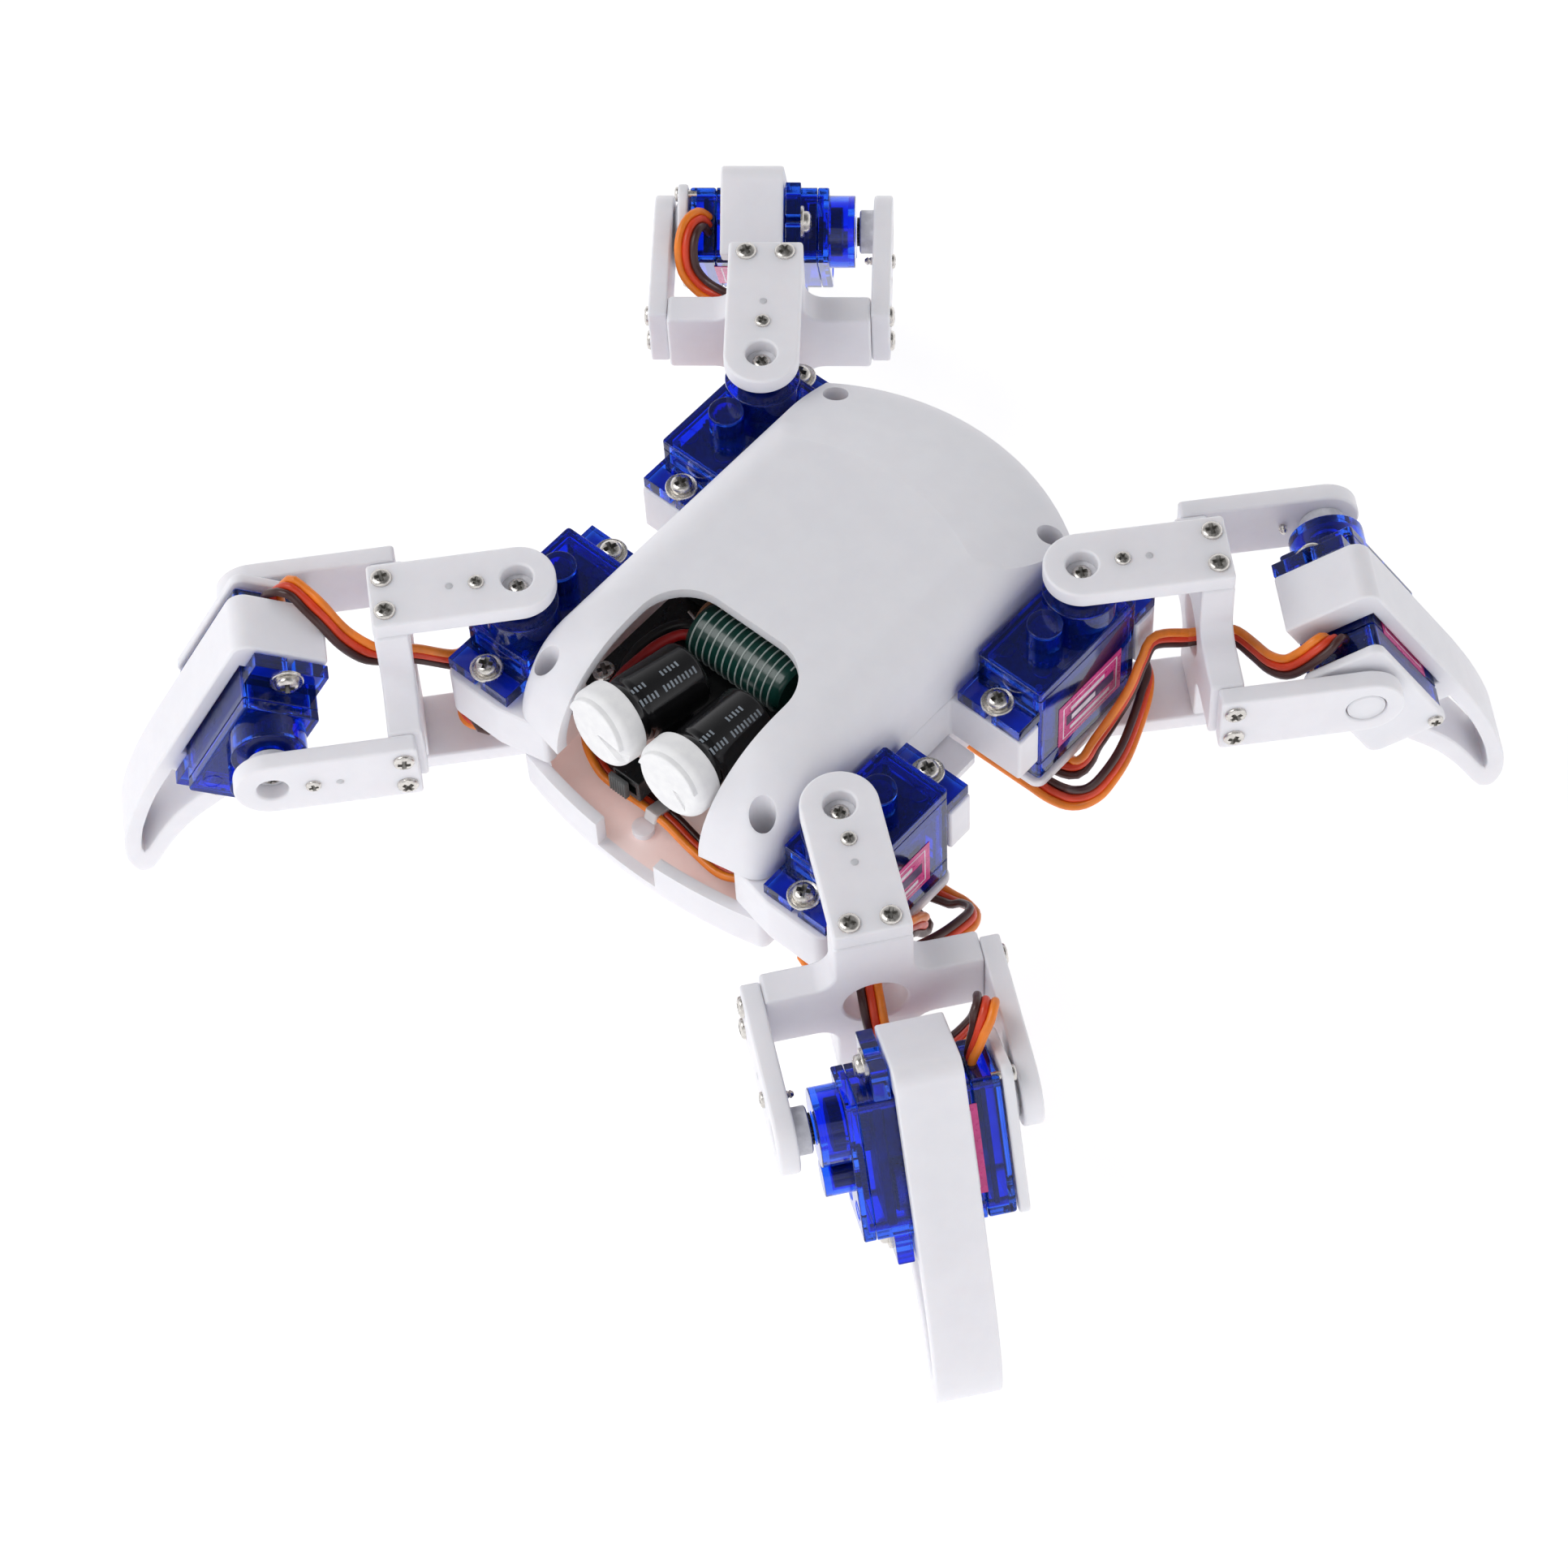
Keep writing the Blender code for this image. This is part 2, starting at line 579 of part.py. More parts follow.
def battery_pack_mesh():
    half, base = BATTERY_HALF_WIDTH, TRAY_BOTTOM + TRAY_FLOOR + GAP
    return slab(rounded_rectangle(-half, half, BATTERY_FRONT, BATTERY_REAR, 2.5), base, base + BATTERY_HEIGHT)


def capacitor_mesh():
    """A capacitor from its rear end, with the groove that its sleeve has near one end."""
    length, radius = CAPACITOR_LENGTH, CAPACITOR_RADIUS
    return turned([(radius - 0.6, 0), (radius, 0.6), (radius, length - 2.4), (radius - 0.35, length - 1.9),
                   (radius, length - 1.4), (radius, length - 0.4), (radius - 0.4, length)])


def eye_cap_mesh():
    """A disc with a rounded front edge and a wedge-shaped notch."""
    radius, length, edge = EYE_CAP_RADIUS, EYE_CAP_LENGTH, EYE_CAP_EDGE
    bend = [(radius - edge + edge * math.cos(a), length - edge + edge * math.sin(a))
            for a in (math.radians(d) for d in (0, 30, 60, 90))]
    cap = turned([(radius - 0.3, 0), (radius, 0.3), *bend])
    wedge = slab([(0, 0), (8, -3.2), (8, 0.6)], length - 0.9, length + 1)
    return combined(cap, [wedge], "DIFFERENCE")


def coil_mesh():
    radius, length = COIL_RADIUS, COIL_LENGTH
    return turned([(radius - 0.5, 0), (radius, 0.5), (radius, length - 0.5), (radius - 0.5, length)])


def switch_body_mesh():
    """The slide switch's housing, with the channel that its slider runs in."""
    half, height = SWITCH_HALF, SWITCH_HALF_HEIGHT
    body = slab(rounded_rectangle(-half, half, SWITCH_FRONT, SWITCH_REAR, 0.3), -height, height)
    length, height = CHANNEL_HALF_LENGTH, CHANNEL_HALF_HEIGHT
    channel = slab(rounded_rectangle(-length, length, SWITCH_FRONT - 1, CHANNEL_FLOOR, 0.1), -height, height)
    return combined(body, [channel], "DIFFERENCE")


def switch_slider_mesh():
    """The slider: a neck in the channel, and a broad grip in front of the housing."""
    (neck_x, neck_z), (grip_x, grip_z) = SLIDER_NECK, GRIP_HALF
    grip = slab(rounded_rectangle(-grip_x, grip_x, GRIP_FRONT, GRIP_BACK, 0.2), -grip_z, grip_z)
    neck = slab(rounded_rectangle(-neck_x, neck_x, GRIP_BACK - 0.3, SLIDER_FLOOR, 0.1), -neck_z, neck_z)
    return combined(grip, [neck], "UNION")


# ---------------------------------------------------------------- leads

# From a knee servo to the cross block's hole, in the leg's frame with Y towards the pivot side.
KNEE_LEAD_ARCHES = {
    "front_right": [
        (36.9, 10.3, 4.0), (35.4, 9.9, 6.3), (33.8, 9.0, 7.2), (32.2, 7.8, 6.0), (29.9, 5.2, 4.6),
        (27.4, 3.4, 0.9), (24.8, 2.4, -1.8), (22.7, 2.0, -3.0), (19.5, 1.8, -3.4), (16.6, 1.6, -3.8),
    ],
    "front_left": [
        (35.7, 11.7, 3.8), (33.9, 13.0, 6.4), (31.9, 13.9, 6.2), (30.1, 14.0, 3.2), (28.9, 13.8, -1.5),
        (28.2, 12.6, -6.8), (27.8, 9.6, -11.6), (27.7, 5.8, -13.4), (27.3, 2.0, -12.2), (26.4, -0.2, -9.2),
        (24.6, -0.6, -6.2), (22.1, -0.6, -4.6), (19.2, -0.4, -4.4), (16.6, 0.0, -4.8),
    ],
    "rear_left": [
        (36.3, 10.7, 2.6), (34.0, 11.9, 2.4), (31.6, 12.1, 0.0), (29.4, 11.4, -2.4), (27.4, 9.0, -4.2),
        (25.7, 5.0, -5.9), (24.0, 1.8, -6.9), (22.1, 0.6, -7.4), (19.2, 0.1, -7.8), (16.6, 0.0, -8.0),
    ],
    "rear_right": [
        (36.4, 11.3, 2.9), (34.2, 12.7, 3.7), (31.4, 13.5, 2.4), (28.7, 13.1, -0.3), (26.6, 11.0, -2.0),
        (25.0, 8.4, -2.3), (23.7, 5.0, -3.2), (22.1, 2.4, -4.2), (19.2, 1.0, -5.0), (16.6, 0.3, -5.4),
    ],
}
# From the cross block into the body, for the quarter where X and Y are positive.
KNEE_LEAD_RUN = [
    (39.9, 35.2, -6.0), (40.0, 32.2, -8.0), (40.6, 28.6, -11.2), (40.7, 24.4, -14.0), (40.2, 21.0, -17.4),
    (39.6, 18.9, -20.6), (37.4, 17.6, -22.4), (31.5, 17.2, -22.8), (26.0, 17.2, -22.9), (22.4, 17.2, -22.8),
    (20.4, 17.2, -21.9), (19.3, 17.2, -20.0), (18.7, 17.3, -15.5), (17.9, 17.4, -9.0), (17.6, 17.4, -3.9),
]
HIP_LEAD_RUN = [
    (31.4, 34.0, -14.5), (32.2, 36.3, -14.8), (35.6, 37.3, -15.6), (38.8, 35.6, -16.2), (41.0, 31.6, -16.4),
    (43.2, 26.6, -16.4), (44.9, 21.8, -16.6), (45.6, 17.6, -17.0), (45.2, 14.4, -18.2), (43.0, 12.6, -19.9),
    (39.6, 12.4, -21.7), (35.0, 12.6, -22.6), (29.0, 12.7, -22.9), (23.4, 12.7, -22.9), (20.8, 12.7, -22.2),
    (19.3, 12.7, -20.2), (18.8, 12.8, -16.0), (18.4, 12.8, -11.0), (17.6, 12.8, -3.9),
]
FRONT_HARNESS_RUN = [
    (-16.5, -21.5, -5.6), (-18.8, -24.5, -9.5), (-18.2, -28.5, -13.2), (-13.2, -31.2, -14.6),
    (-8.5, -31.6, -14.8), (-3.7, -31.5, -14.8), (1.4, -31.9, -14.8), (7.6, -33.0, -14.6),
    (14.2, -33.4, -14.2), (18.6, -30.0, -12.6), (18.2, -24.5, -8.8), (16.5, -21.5, -5.6),
]


def lead(name, points, radius, parent, to_parent):
    """A flexible lead: a round tube along a smooth curve through its route's points."""
    path = smooth_path(points, LEAD_STEP)
    curve = bpy.data.curves.new(name, "CURVE")
    curve.dimensions = "3D"
    curve.bevel_depth = radius * MM
    curve.bevel_resolution = 2
    curve.use_fill_caps = True
    spline = curve.splines.new("POLY")
    spline.points.add(len(path) - 1)
    for point, place in zip(spline.points, path):
        point.co = (*(to_parent @ (place * MM)), 1)
    return add(name, curve, "orange", parent, Matrix.Identity(4))


# ---------------------------------------------------------------- assembly

def material(name):
    if name in bpy.data.materials:
        return bpy.data.materials[name]
    colour, roughness, metallic = COLOURS[name]
    made = bpy.data.materials.new(name)
    made.use_nodes = True
    shader = made.node_tree.nodes["Principled BSDF"]
    shader.inputs["Base Color"].default_value = (*colour, 1)
    shader.inputs["Roughness"].default_value = roughness
    shader.inputs["Metallic"].default_value = metallic
    made.diffuse_color = (*colour, 1)
    return made


def add(name, data, colour, parent, matrix):
    """A named sub-part from a mesh or a curve, placed in its parent's frame."""
    if isinstance(data, bpy.types.Mesh):
        data.shade_smooth()
        data.set_sharp_from_angle(angle=math.radians(35))
    if not data.materials:
        data.materials.append(material(colour))
    part = bpy.data.objects.new(name, data)
    bpy.context.scene.collection.objects.link(part)
    part.parent = parent
    part.matrix_basis = matrix
    return part


def empty(name, parent, matrix):
    made = bpy.data.objects.new(name, None)
    bpy.context.scene.collection.objects.link(made)
    made.empty_display_size = 0.01
    made.parent = parent
    made.matrix_basis = matrix
    return made


def build_body(root):
    here = Matrix.Identity(4)
    add("top_shell", top_shell_mesh(), "white", root, here)
    add("mid_frame", mid_frame_mesh(), "white", root, here)
    add("bottom_tray", bottom_tray_mesh(), "white", root, here)
    add("controller_board", controller_board_mesh(), "board", root, here)
    add("battery_pack", battery_pack_mesh(), "silver", root, here)
    capacitor, eye_cap = capacitor_mesh(), eye_cap_mesh()
    tilt = math.radians(CAPACITOR_TILT)
    for name, x, splay in zip(("right", "left"), CAPACITOR_REAR_X, map(math.radians, CAPACITOR_SPLAY)):
        forward = (-math.sin(splay) * math.cos(tilt), -math.cos(splay) * math.cos(tilt), math.sin(tilt))
        across = (math.cos(splay), -math.sin(splay), 0)
        can = frame((x, CAPACITOR_REAR_Y, CAPACITOR_REAR_Z), across, forward)
        add(f"capacitor_{name}", capacitor, "black", root, can)
        turned_cap = Matrix.Rotation(math.radians(EYE_CAP_TURN), 4, "Z")
        add(f"eye_cap_{name}", eye_cap, "white", root, can @ shift(0, 0, CAPACITOR_LENGTH + GAP) @ turned_cap)
    x, y, z = COIL_CENTRE
    add("choke_coil", coil_mesh(), "green", root,
        frame((x - COIL_LENGTH / 2, y, z), (0, 0, 1), (1, 0, 0)))
    add("power_switch_body", switch_body_mesh(), "black", root, shift(*SWITCH_CENTRE))
    x, y, z = SWITCH_CENTRE
    add("power_switch_slider", switch_slider_mesh(), "grey", root, shift(x - SWITCH_TRAVEL / 2, y, z))
    lead("front_harness", FRONT_HARNESS_RUN, HARNESS_RADIUS, root, Matrix.Identity(4))


def build_leg(root, leg, meshes):
    name, side_x, side_y, heading, horn = leg
    hip_at = (HIP_X * side_x, HIP_Y * side_y, 0)
    servo_frame = frame(hip_at, (0, -side_y, 0), (0, 0, 1))
    add(f"hip_servo_{name}", meshes["servo"], "blue", root, servo_frame)
    add(f"hip_holder_{name}", meshes["holder"], "white", root, servo_frame)

    hip_frame = shift(*hip_at) @ Matrix.Rotation(math.radians(heading), 4, "Z")
    hip = empty(f"hip_axis_{name}", root, hip_frame)
    add(f"hip_horn_plate_{name}", meshes["horn_plate"], "white", hip, shift(0, 0, HORN_STACK))
    add(f"hip_pivot_plate_{name}", meshes["pivot_plate"], "white", hip,
        frame((0, 0, -PIVOT_STACK), (1, 0, 0), (0, 0, -1)))
    add(f"cross_block_{name}", meshes["cross"], "white", hip, frame((0, 0, 0), (0, 1, 0), (1, 0, 0)))
    face = side_plate_face() * horn
    add(f"knee_horn_plate_{name}", meshes["horn_plate"], "white", hip,
        frame((KNEE_REACH, face, KNEE_Z), (-1, 0, 0), (0, horn, 0)))
    add(f"knee_pivot_plate_{name}", meshes["pivot_plate"], "white", hip,
        frame((KNEE_REACH, -face, KNEE_Z), (-1, 0, 0), (0, -horn, 0)))

    pitch = math.radians(KNEE_PITCH)
    down = Vector((math.sin(pitch), 0, -math.cos(pitch)))
    knee_frame = frame((KNEE_REACH, 0, KNEE_Z), down, (0, -1, 0))
    knee = empty(f"knee_axis_{name}", hip, knee_frame)
    in_knee = frame((0, 0, -KNEE_SERVO_FLANGE * horn), (1, 0, 0), (0, 0, -horn))
    add(f"knee_servo_{name}", meshes["servo"], "blue", knee, in_knee)
    add(f"knee_holder_{name}", meshes["holder"], "white", knee, in_knee)
    add(f"shin_{name}", meshes["shin"], "white", knee, shift(0, 0, SHIN_OFFSET * horn))

    start = Vector((KNEE_REACH, KNEE_LEAD_EXIT, KNEE_Z)) + down * (SERVO_NEAR - LEAD_END_GAP)
    arch = [hip_frame @ (Vector((x, -horn * y, z)) * MM) / MM for x, y, z in [start, *KNEE_LEAD_ARCHES[name]]]
    run = [Vector((x * side_x, y * side_y, z)) for x, y, z in KNEE_LEAD_RUN]
    lead(f"knee_lead_{name}", arch + run, LEAD_RADIUS, hip, hip_frame.inverted())
    if name != "rear_right":
        run = [(x * side_x, y * side_y, z) for x, y, z in HIP_LEAD_RUN]
        lead(f"hip_lead_{name}", run, LEAD_RADIUS, root, Matrix.Identity(4))


def stand_on_origin(root):
    """Move the model so that the world origin is under its middle, at the height of the feet."""
    bpy.context.view_layer.update()
    solids = [part for part in bpy.data.objects if part.type == "MESH"]
    corners = [part.matrix_world @ v.co for part in solids for v in part.data.vertices]
    low = Vector([min(c[i] for c in corners) for i in range(3)])
    high = Vector([max(c[i] for c in corners) for i in range(3)])
    root.location = (-(low.x + high.x) / 2, -(low.y + high.y) / 2, -low.z)
    bpy.context.view_layer.update()


def main():
    for thing in list(bpy.data.objects):
        bpy.data.objects.remove(thing)
    root = empty("body_frame", None, Matrix.Identity(4))
    build_body(root)
    meshes = {
        "servo": servo_mesh(), "holder": holder_mesh(), "horn_plate": horn_plate_mesh(),
        "pivot_plate": pivot_plate_mesh(), "cross": cross_mesh(), "shin": shin_mesh(),
    }
    for leg in LEGS:
        build_leg(root, leg, meshes)
    stand_on_origin(root)


main()
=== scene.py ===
"""The quadruped walking robot in full detail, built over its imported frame.

Lengths are in millimetres, and meshes are scaled to metres when they are made. Positions on the body are
counted from the middle of the four hip axes, at the height of the hip servos' flange tops. A servo, its
holder and the link plates have Z along the servo's shaft, and a leg has X along it and Z up.
"""

import json
import math

import bmesh
import bpy
from mathutils import Matrix, Vector
from mathutils.geometry import tessellate_polygon


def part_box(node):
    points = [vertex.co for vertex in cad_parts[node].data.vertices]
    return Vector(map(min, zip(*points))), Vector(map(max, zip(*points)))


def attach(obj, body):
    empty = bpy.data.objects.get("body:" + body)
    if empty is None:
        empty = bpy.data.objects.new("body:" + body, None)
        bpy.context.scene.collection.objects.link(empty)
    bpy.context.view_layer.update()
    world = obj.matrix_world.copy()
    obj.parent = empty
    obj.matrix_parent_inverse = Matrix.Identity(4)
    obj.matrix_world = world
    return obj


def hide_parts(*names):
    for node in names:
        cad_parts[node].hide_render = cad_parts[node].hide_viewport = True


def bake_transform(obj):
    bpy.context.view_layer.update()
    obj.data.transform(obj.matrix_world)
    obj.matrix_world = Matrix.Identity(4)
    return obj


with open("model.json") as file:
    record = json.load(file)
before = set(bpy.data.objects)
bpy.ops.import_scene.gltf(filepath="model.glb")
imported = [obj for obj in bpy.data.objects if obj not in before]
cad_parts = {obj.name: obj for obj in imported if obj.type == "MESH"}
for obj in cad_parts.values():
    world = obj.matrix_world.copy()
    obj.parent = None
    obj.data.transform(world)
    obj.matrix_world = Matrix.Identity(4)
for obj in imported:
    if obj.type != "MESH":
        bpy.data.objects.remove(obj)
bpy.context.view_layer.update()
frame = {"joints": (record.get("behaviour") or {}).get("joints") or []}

MM = 0.001
CORNERS = ("front_right", "front_left", "rear_left", "rear_right")
JOINTS = {joint["name"]: joint for joint in frame["joints"]}
HIPS = {c: Vector(JOINTS[f"hip_yaw_{c}"]["pos_m"]) for c in CORNERS}
KNEES = {c: Vector(JOINTS[f"knee_lift_{c}"]["pos_m"]) for c in CORNERS}
CENTRE = sum(HIPS.values(), Vector()) / 4
BODY = Matrix.Translation(CENTRE)
HIP_X = abs(HIPS["front_left"].x - CENTRE.x) / MM
HIP_Y = abs(HIPS["front_left"].y - CENTRE.y) / MM
KNEE_REACH = (KNEES["front_left"] - HIPS["front_left"]).to_2d().length / MM
KNEE_Z = (KNEES["front_left"] - HIPS["front_left"]).z / MM
KNEE_PITCH = math.radians(29.5)
SHIN_DOWN = Vector((math.sin(KNEE_PITCH), 0, -math.cos(KNEE_PITCH)))
SHIN_OUT = Vector((-math.cos(KNEE_PITCH), 0, -math.sin(KNEE_PITCH)))
GAP = 0.3
SEAM = 0.04

HORN_STACK = 11.4
PIVOT_STACK = 20.8
PLATE_THICKNESS = 3.0
PLATE_HALF_WIDTH = 5.8
PLATE_END = 22.1
PLATE_SCREW_X = 19.94
SIDE_FACE = (HORN_STACK + PIVOT_STACK) / 2
KNEE_SERVO_FLANGE = 4.7


# ---- outlines

def arc(x, y, radius, start, end, steps):
    angles = [math.radians(start + (end - start) * i / steps) for i in range(steps + 1)]
    return [(x + radius * math.cos(a), y + radius * math.sin(a)) for a in angles]


def circle(x, y, radius, steps=40):
    return arc(x, y, radius, 0, 360, steps)[:-1]


def rounded(corners, steps=6):
    """A closed outline through (x, y, radius) corners, each rounded by its radius."""
    points = []
    for i, (x, y, radius) in enumerate(corners):
        here = Vector((x, y))
        back = Vector(corners[i - 1][:2]) - here
        ahead = Vector(corners[(i + 1) % len(corners)][:2]) - here
        if radius == 0:
            points.append((x, y))
            continue
        half = back.angle(ahead) / 2
        centre = here + (back.normalized() + ahead.normalized()).normalized() * radius / math.sin(half)
        first = here + back.normalized() * radius / math.tan(half) - centre
        turn = first.angle_signed(here + ahead.normalized() * radius / math.tan(half) - centre)
        for step in range(steps + 1):
            spoke = first.copy()
            spoke.rotate(Matrix.Rotation(-turn * step / steps, 2))
            points.append(tuple(centre + spoke))
    return points


def rectangle(x0, x1, y0, y1, radius, steps=6):
    return rounded([(x0, y0, radius), (x1, y0, radius), (x1, y1, radius), (x0, y1, radius)], steps)


def smooth_path(points, step, sides=None):
    """Evenly spaced points on a smooth curve through the given ones, and their side directions."""
    points = [Vector(p) for p in points]
    sides = [Vector(s) for s in sides or [(0, 0, 1)] * len(points)]
    padded = [2 * points[0] - points[1], *points, 2 * points[-1] - points[-2]]
    fine, fine_sides = [], []
    for k, (a, b, c, d) in enumerate(zip(padded, padded[1:], padded[2:], padded[3:])):
        for i in range(16):
            t = i / 16
            fine.append(b + (c - a) * t / 2 + (2 * a - 5 * b + 4 * c - d) * t * t / 2
                        + (3 * b - a - 3 * c + d) * t ** 3 / 2)
            fine_sides.append(sides[k].lerp(sides[k + 1], t * t * (3 - 2 * t)))
    fine.append(points[-1])
    fine_sides.append(sides[-1])
    lengths = [0.0]
    for a, b in zip(fine, fine[1:]):
        lengths.append(lengths[-1] + (b - a).length)
    count = max(2, round(lengths[-1] / step))
    path, path_sides, k = [], [], 0
    for i in range(count + 1):
        at = lengths[-1] * i / count
        while k < len(fine) - 2 and lengths[k + 1] < at:
            k += 1
        t = (at - lengths[k]) / (lengths[k + 1] - lengths[k])
        path.append(fine[k].lerp(fine[k + 1], t))
        path_sides.append(fine_sides[k].lerp(fine_sides[k + 1], t))
    return path, path_sides


def smooth_outline(points, step):
    path, _ = smooth_path([(x, y, 0) for x, y in points], step)
    return [(p.x, p.y) for p in path]


def inset(loop, distance):
    """The loop moved to its left by a distance, which is into the material for both rims and holes."""
    moved = []
    for i, here in enumerate(loop):
        before = (Vector(here) - Vector(loop[i - 1])).normalized()
        after = (Vector(loop[(i + 1) % len(loop)]) - Vector(here)).normalized()
        left = Vector((-before.y - after.y, before.x + after.x))
        moved.append(tuple(Vector(here) + left * distance / max(0.35, 1 + before.dot(after))))
    return moved


def wound(loop, clockwise):
    area = sum(a[0] * b[1] - b[0] * a[1] for a, b in zip(loop, loop[1:] + loop[:1]))
    return loop if (area < 0) == clockwise else loop[::-1]


# ---- meshes

def finished(built):
    mesh = bpy.data.meshes.new("piece")
    built.to_mesh(mesh)
    built.free()
    return mesh


def add_object(name, data):
    made = bpy.data.objects.new(name, data)
    bpy.context.scene.collection.objects.link(made)
    return made


def applied(thing):
    """The object's mesh with its modifiers applied; the object is removed."""
    bpy.context.view_layer.update()
    mesh = bpy.data.meshes.new_from_object(thing.evaluated_get(bpy.context.evaluated_depsgraph_get()))
    bpy.data.objects.remove(thing)
    return mesh


def mesh_from(vertices, faces):
    built = bmesh.new()
    corners = [built.verts.new(Vector(v) * MM) for v in vertices]
    for face in faces:
        built.faces.new([corners[i] for i in face])
    bmesh.ops.recalc_face_normals(built, faces=built.faces)
    return finished(built)


def slab(outline, bottom, top, holes=(), edge=0.35, steps=3):
    """An outline with holes, extruded along Z, with its rims and holes rounded by edge."""
    loops = [wound(list(outline), False), *(wound(list(hole), True) for hole in holes)]
    rise = [math.radians(90 * i / steps) for i in range(steps + 1)] if edge else [math.pi / 2]
    levels = [(edge * (1 - math.sin(a)), bottom + edge * (1 - math.cos(a))) for a in rise]
    levels += [(pull, bottom + top - z) for pull, z in reversed(levels)]
    flat_count = sum(len(loop) for loop in loops)
    vertices, faces = [], []
    for pull, z in levels:
        for loop in loops:
            vertices += [(x, y, z) for x, y in (inset(loop, pull) if pull else loop)]
    for level in range(len(levels) - 1):
        start = level * flat_count
        for loop in loops:
            for i in range(len(loop)):
                a, b = start + i, start + (i + 1) % len(loop)
                faces.append((a, b, b + flat_count, a + flat_count))
            start += len(loop)
    ends = [[Vector((x, y, 0)) for x, y in inset(loop, edge)] for loop in loops]
    triangles = tessellate_polygon(ends)
    last = (len(levels) - 1) * flat_count
    faces += [tuple(t) for t in triangles] + [tuple(i + last for i in t) for t in triangles]
    return mesh_from(vertices, faces)


def loft(rings):
    """A closed solid through rings of equally many points, with flat ends."""
    count = len(rings[0])
    vertices = [point for ring in rings for point in ring]
    faces = []
    for level in range(len(rings) - 1):
        for i in range(count):
            a, b = level * count + i, level * count + (i + 1) % count
            faces.append((a, b, b + count, a + count))
    faces.append(tuple(range(count)))
    top = (len(rings) - 1) * count
    faces.append(tuple(range(top, top + count)))
    return mesh_from(vertices, faces)


def turned(profile, steps=40):
    """A solid of revolution about Z from (radius, height) points."""
    return loft([[(x, y, height) for x, y in circle(0, 0, max(radius, 0.01), steps)]
                 for radius, height in profile])


def tube(path, radius, steps=10):
    """A round tube along a path, with its section turned as little as possible."""
    side = (path[1] - path[0]).orthogonal().normalized()
    rings = []
    for i, point in enumerate(path):
        along = (path[min(i + 1, len(path) - 1)] - path[max(i - 1, 0)]).normalized()
        side = (side - along * side.dot(along)).normalized()
        up = along.cross(side)
        turns = [math.tau * k / steps for k in range(steps)]
        rings.append([point + (side * math.cos(a) + up * math.sin(a)) * radius for a in turns])
    return loft(rings)


def combined(base, others, operation):
    first, *scratch = [add_object("scratch", mesh) for mesh in (base, *others)]
    for other in scratch:
        modifier = first.modifiers.new("shape", "BOOLEAN")
        modifier.operation = operation
        modifier.object = other
    result = applied(first)
    for other in scratch:
        bpy.data.objects.remove(other)
    return result


def gathered(parts):
    """One mesh from (mesh, matrix, material) parts; a part whose material is None keeps its own."""
    built = bmesh.new()
    finishes = []
    for mesh, matrix, finish in parts:
        own = [finish] if finish else list(mesh.materials)
        finishes += [one for one in own if one not in finishes]
        first = len(built.faces)
        placed = mesh.copy()
        placed.transform(matrix)
        built.from_mesh(placed)
        built.faces.ensure_lookup_table()
        for face in built.faces[first:]:
            face.material_index = finishes.index(own[0 if finish else face.material_index])
    mesh = finished(built)
    for finish in finishes:
        mesh.materials.append(finish)
    return mesh


def painted(mesh, finishes, index):
    """The mesh with several materials, its faces in the one at the index; a cut shows the cutter's."""
    for finish in finishes:
        mesh.materials.append(finish)
    mesh.polygons.foreach_set("material_index", [index] * len(mesh.polygons))
    return mesh


def softened(mesh, width, segments=2, angle=35):
    """The mesh with its sharp edges rounded."""
    thing = add_object("scratch", mesh)
    bevel = thing.modifiers.new("soft", "BEVEL")
    bevel.width = width * MM
    bevel.segments = segments
    bevel.limit_method = "ANGLE"
    bevel.angle_limit = math.radians(angle)
    return applied(thing)


def axes(origin, x_axis, z_axis):
    """The matrix of a frame from its origin, in millimetres, its X axis and its Z axis."""
    x, z = Vector(x_axis).normalized(), Vector(z_axis).normalized()
    matrix = Matrix((x, z.cross(x), z)).transposed().to_4x4()
    matrix.translation = Vector(origin) * MM
    return matrix


def shift(x, y, z):
    return Matrix.Translation(Vector((x, y, z)) * MM)


def turn(degrees, axis="Z"):
    return Matrix.Rotation(math.radians(degrees), 4, axis)


HERE = Matrix.Identity(4)


# ---- materials

def node(made, kind, **values):
    """A node in a material's or a world's tree, with its sockets set by name."""
    added = made.node_tree.nodes.new("ShaderNode" + kind)
    for name, value in values.items():
        added.inputs[name.replace("_", " ")].default_value = value
    return added


def noise_of(made, scale, detail):
    """Noise that is fixed to the object, with its scale counted per metre."""
    texture = node(made, "TexNoise", Scale=scale, Detail=detail, Roughness=0.55)
    place = node(made, "TexCoord").outputs["Object"]
    made.node_tree.links.new(place, texture.inputs["Vector"])
    return texture.outputs["Fac"]


def new_material(name, colour, roughness, **sockets):
    made = bpy.data.materials.new(name)
    made.use_nodes = True
    shader = made.node_tree.nodes["Principled BSDF"]
    sockets.update({"Base_Color": (*colour, 1), "Roughness": roughness})
    for socket, value in sockets.items():
        shader.inputs[socket.replace("_", " ")].default_value = value
    made.diffuse_color = (*colour, 1)
    return made


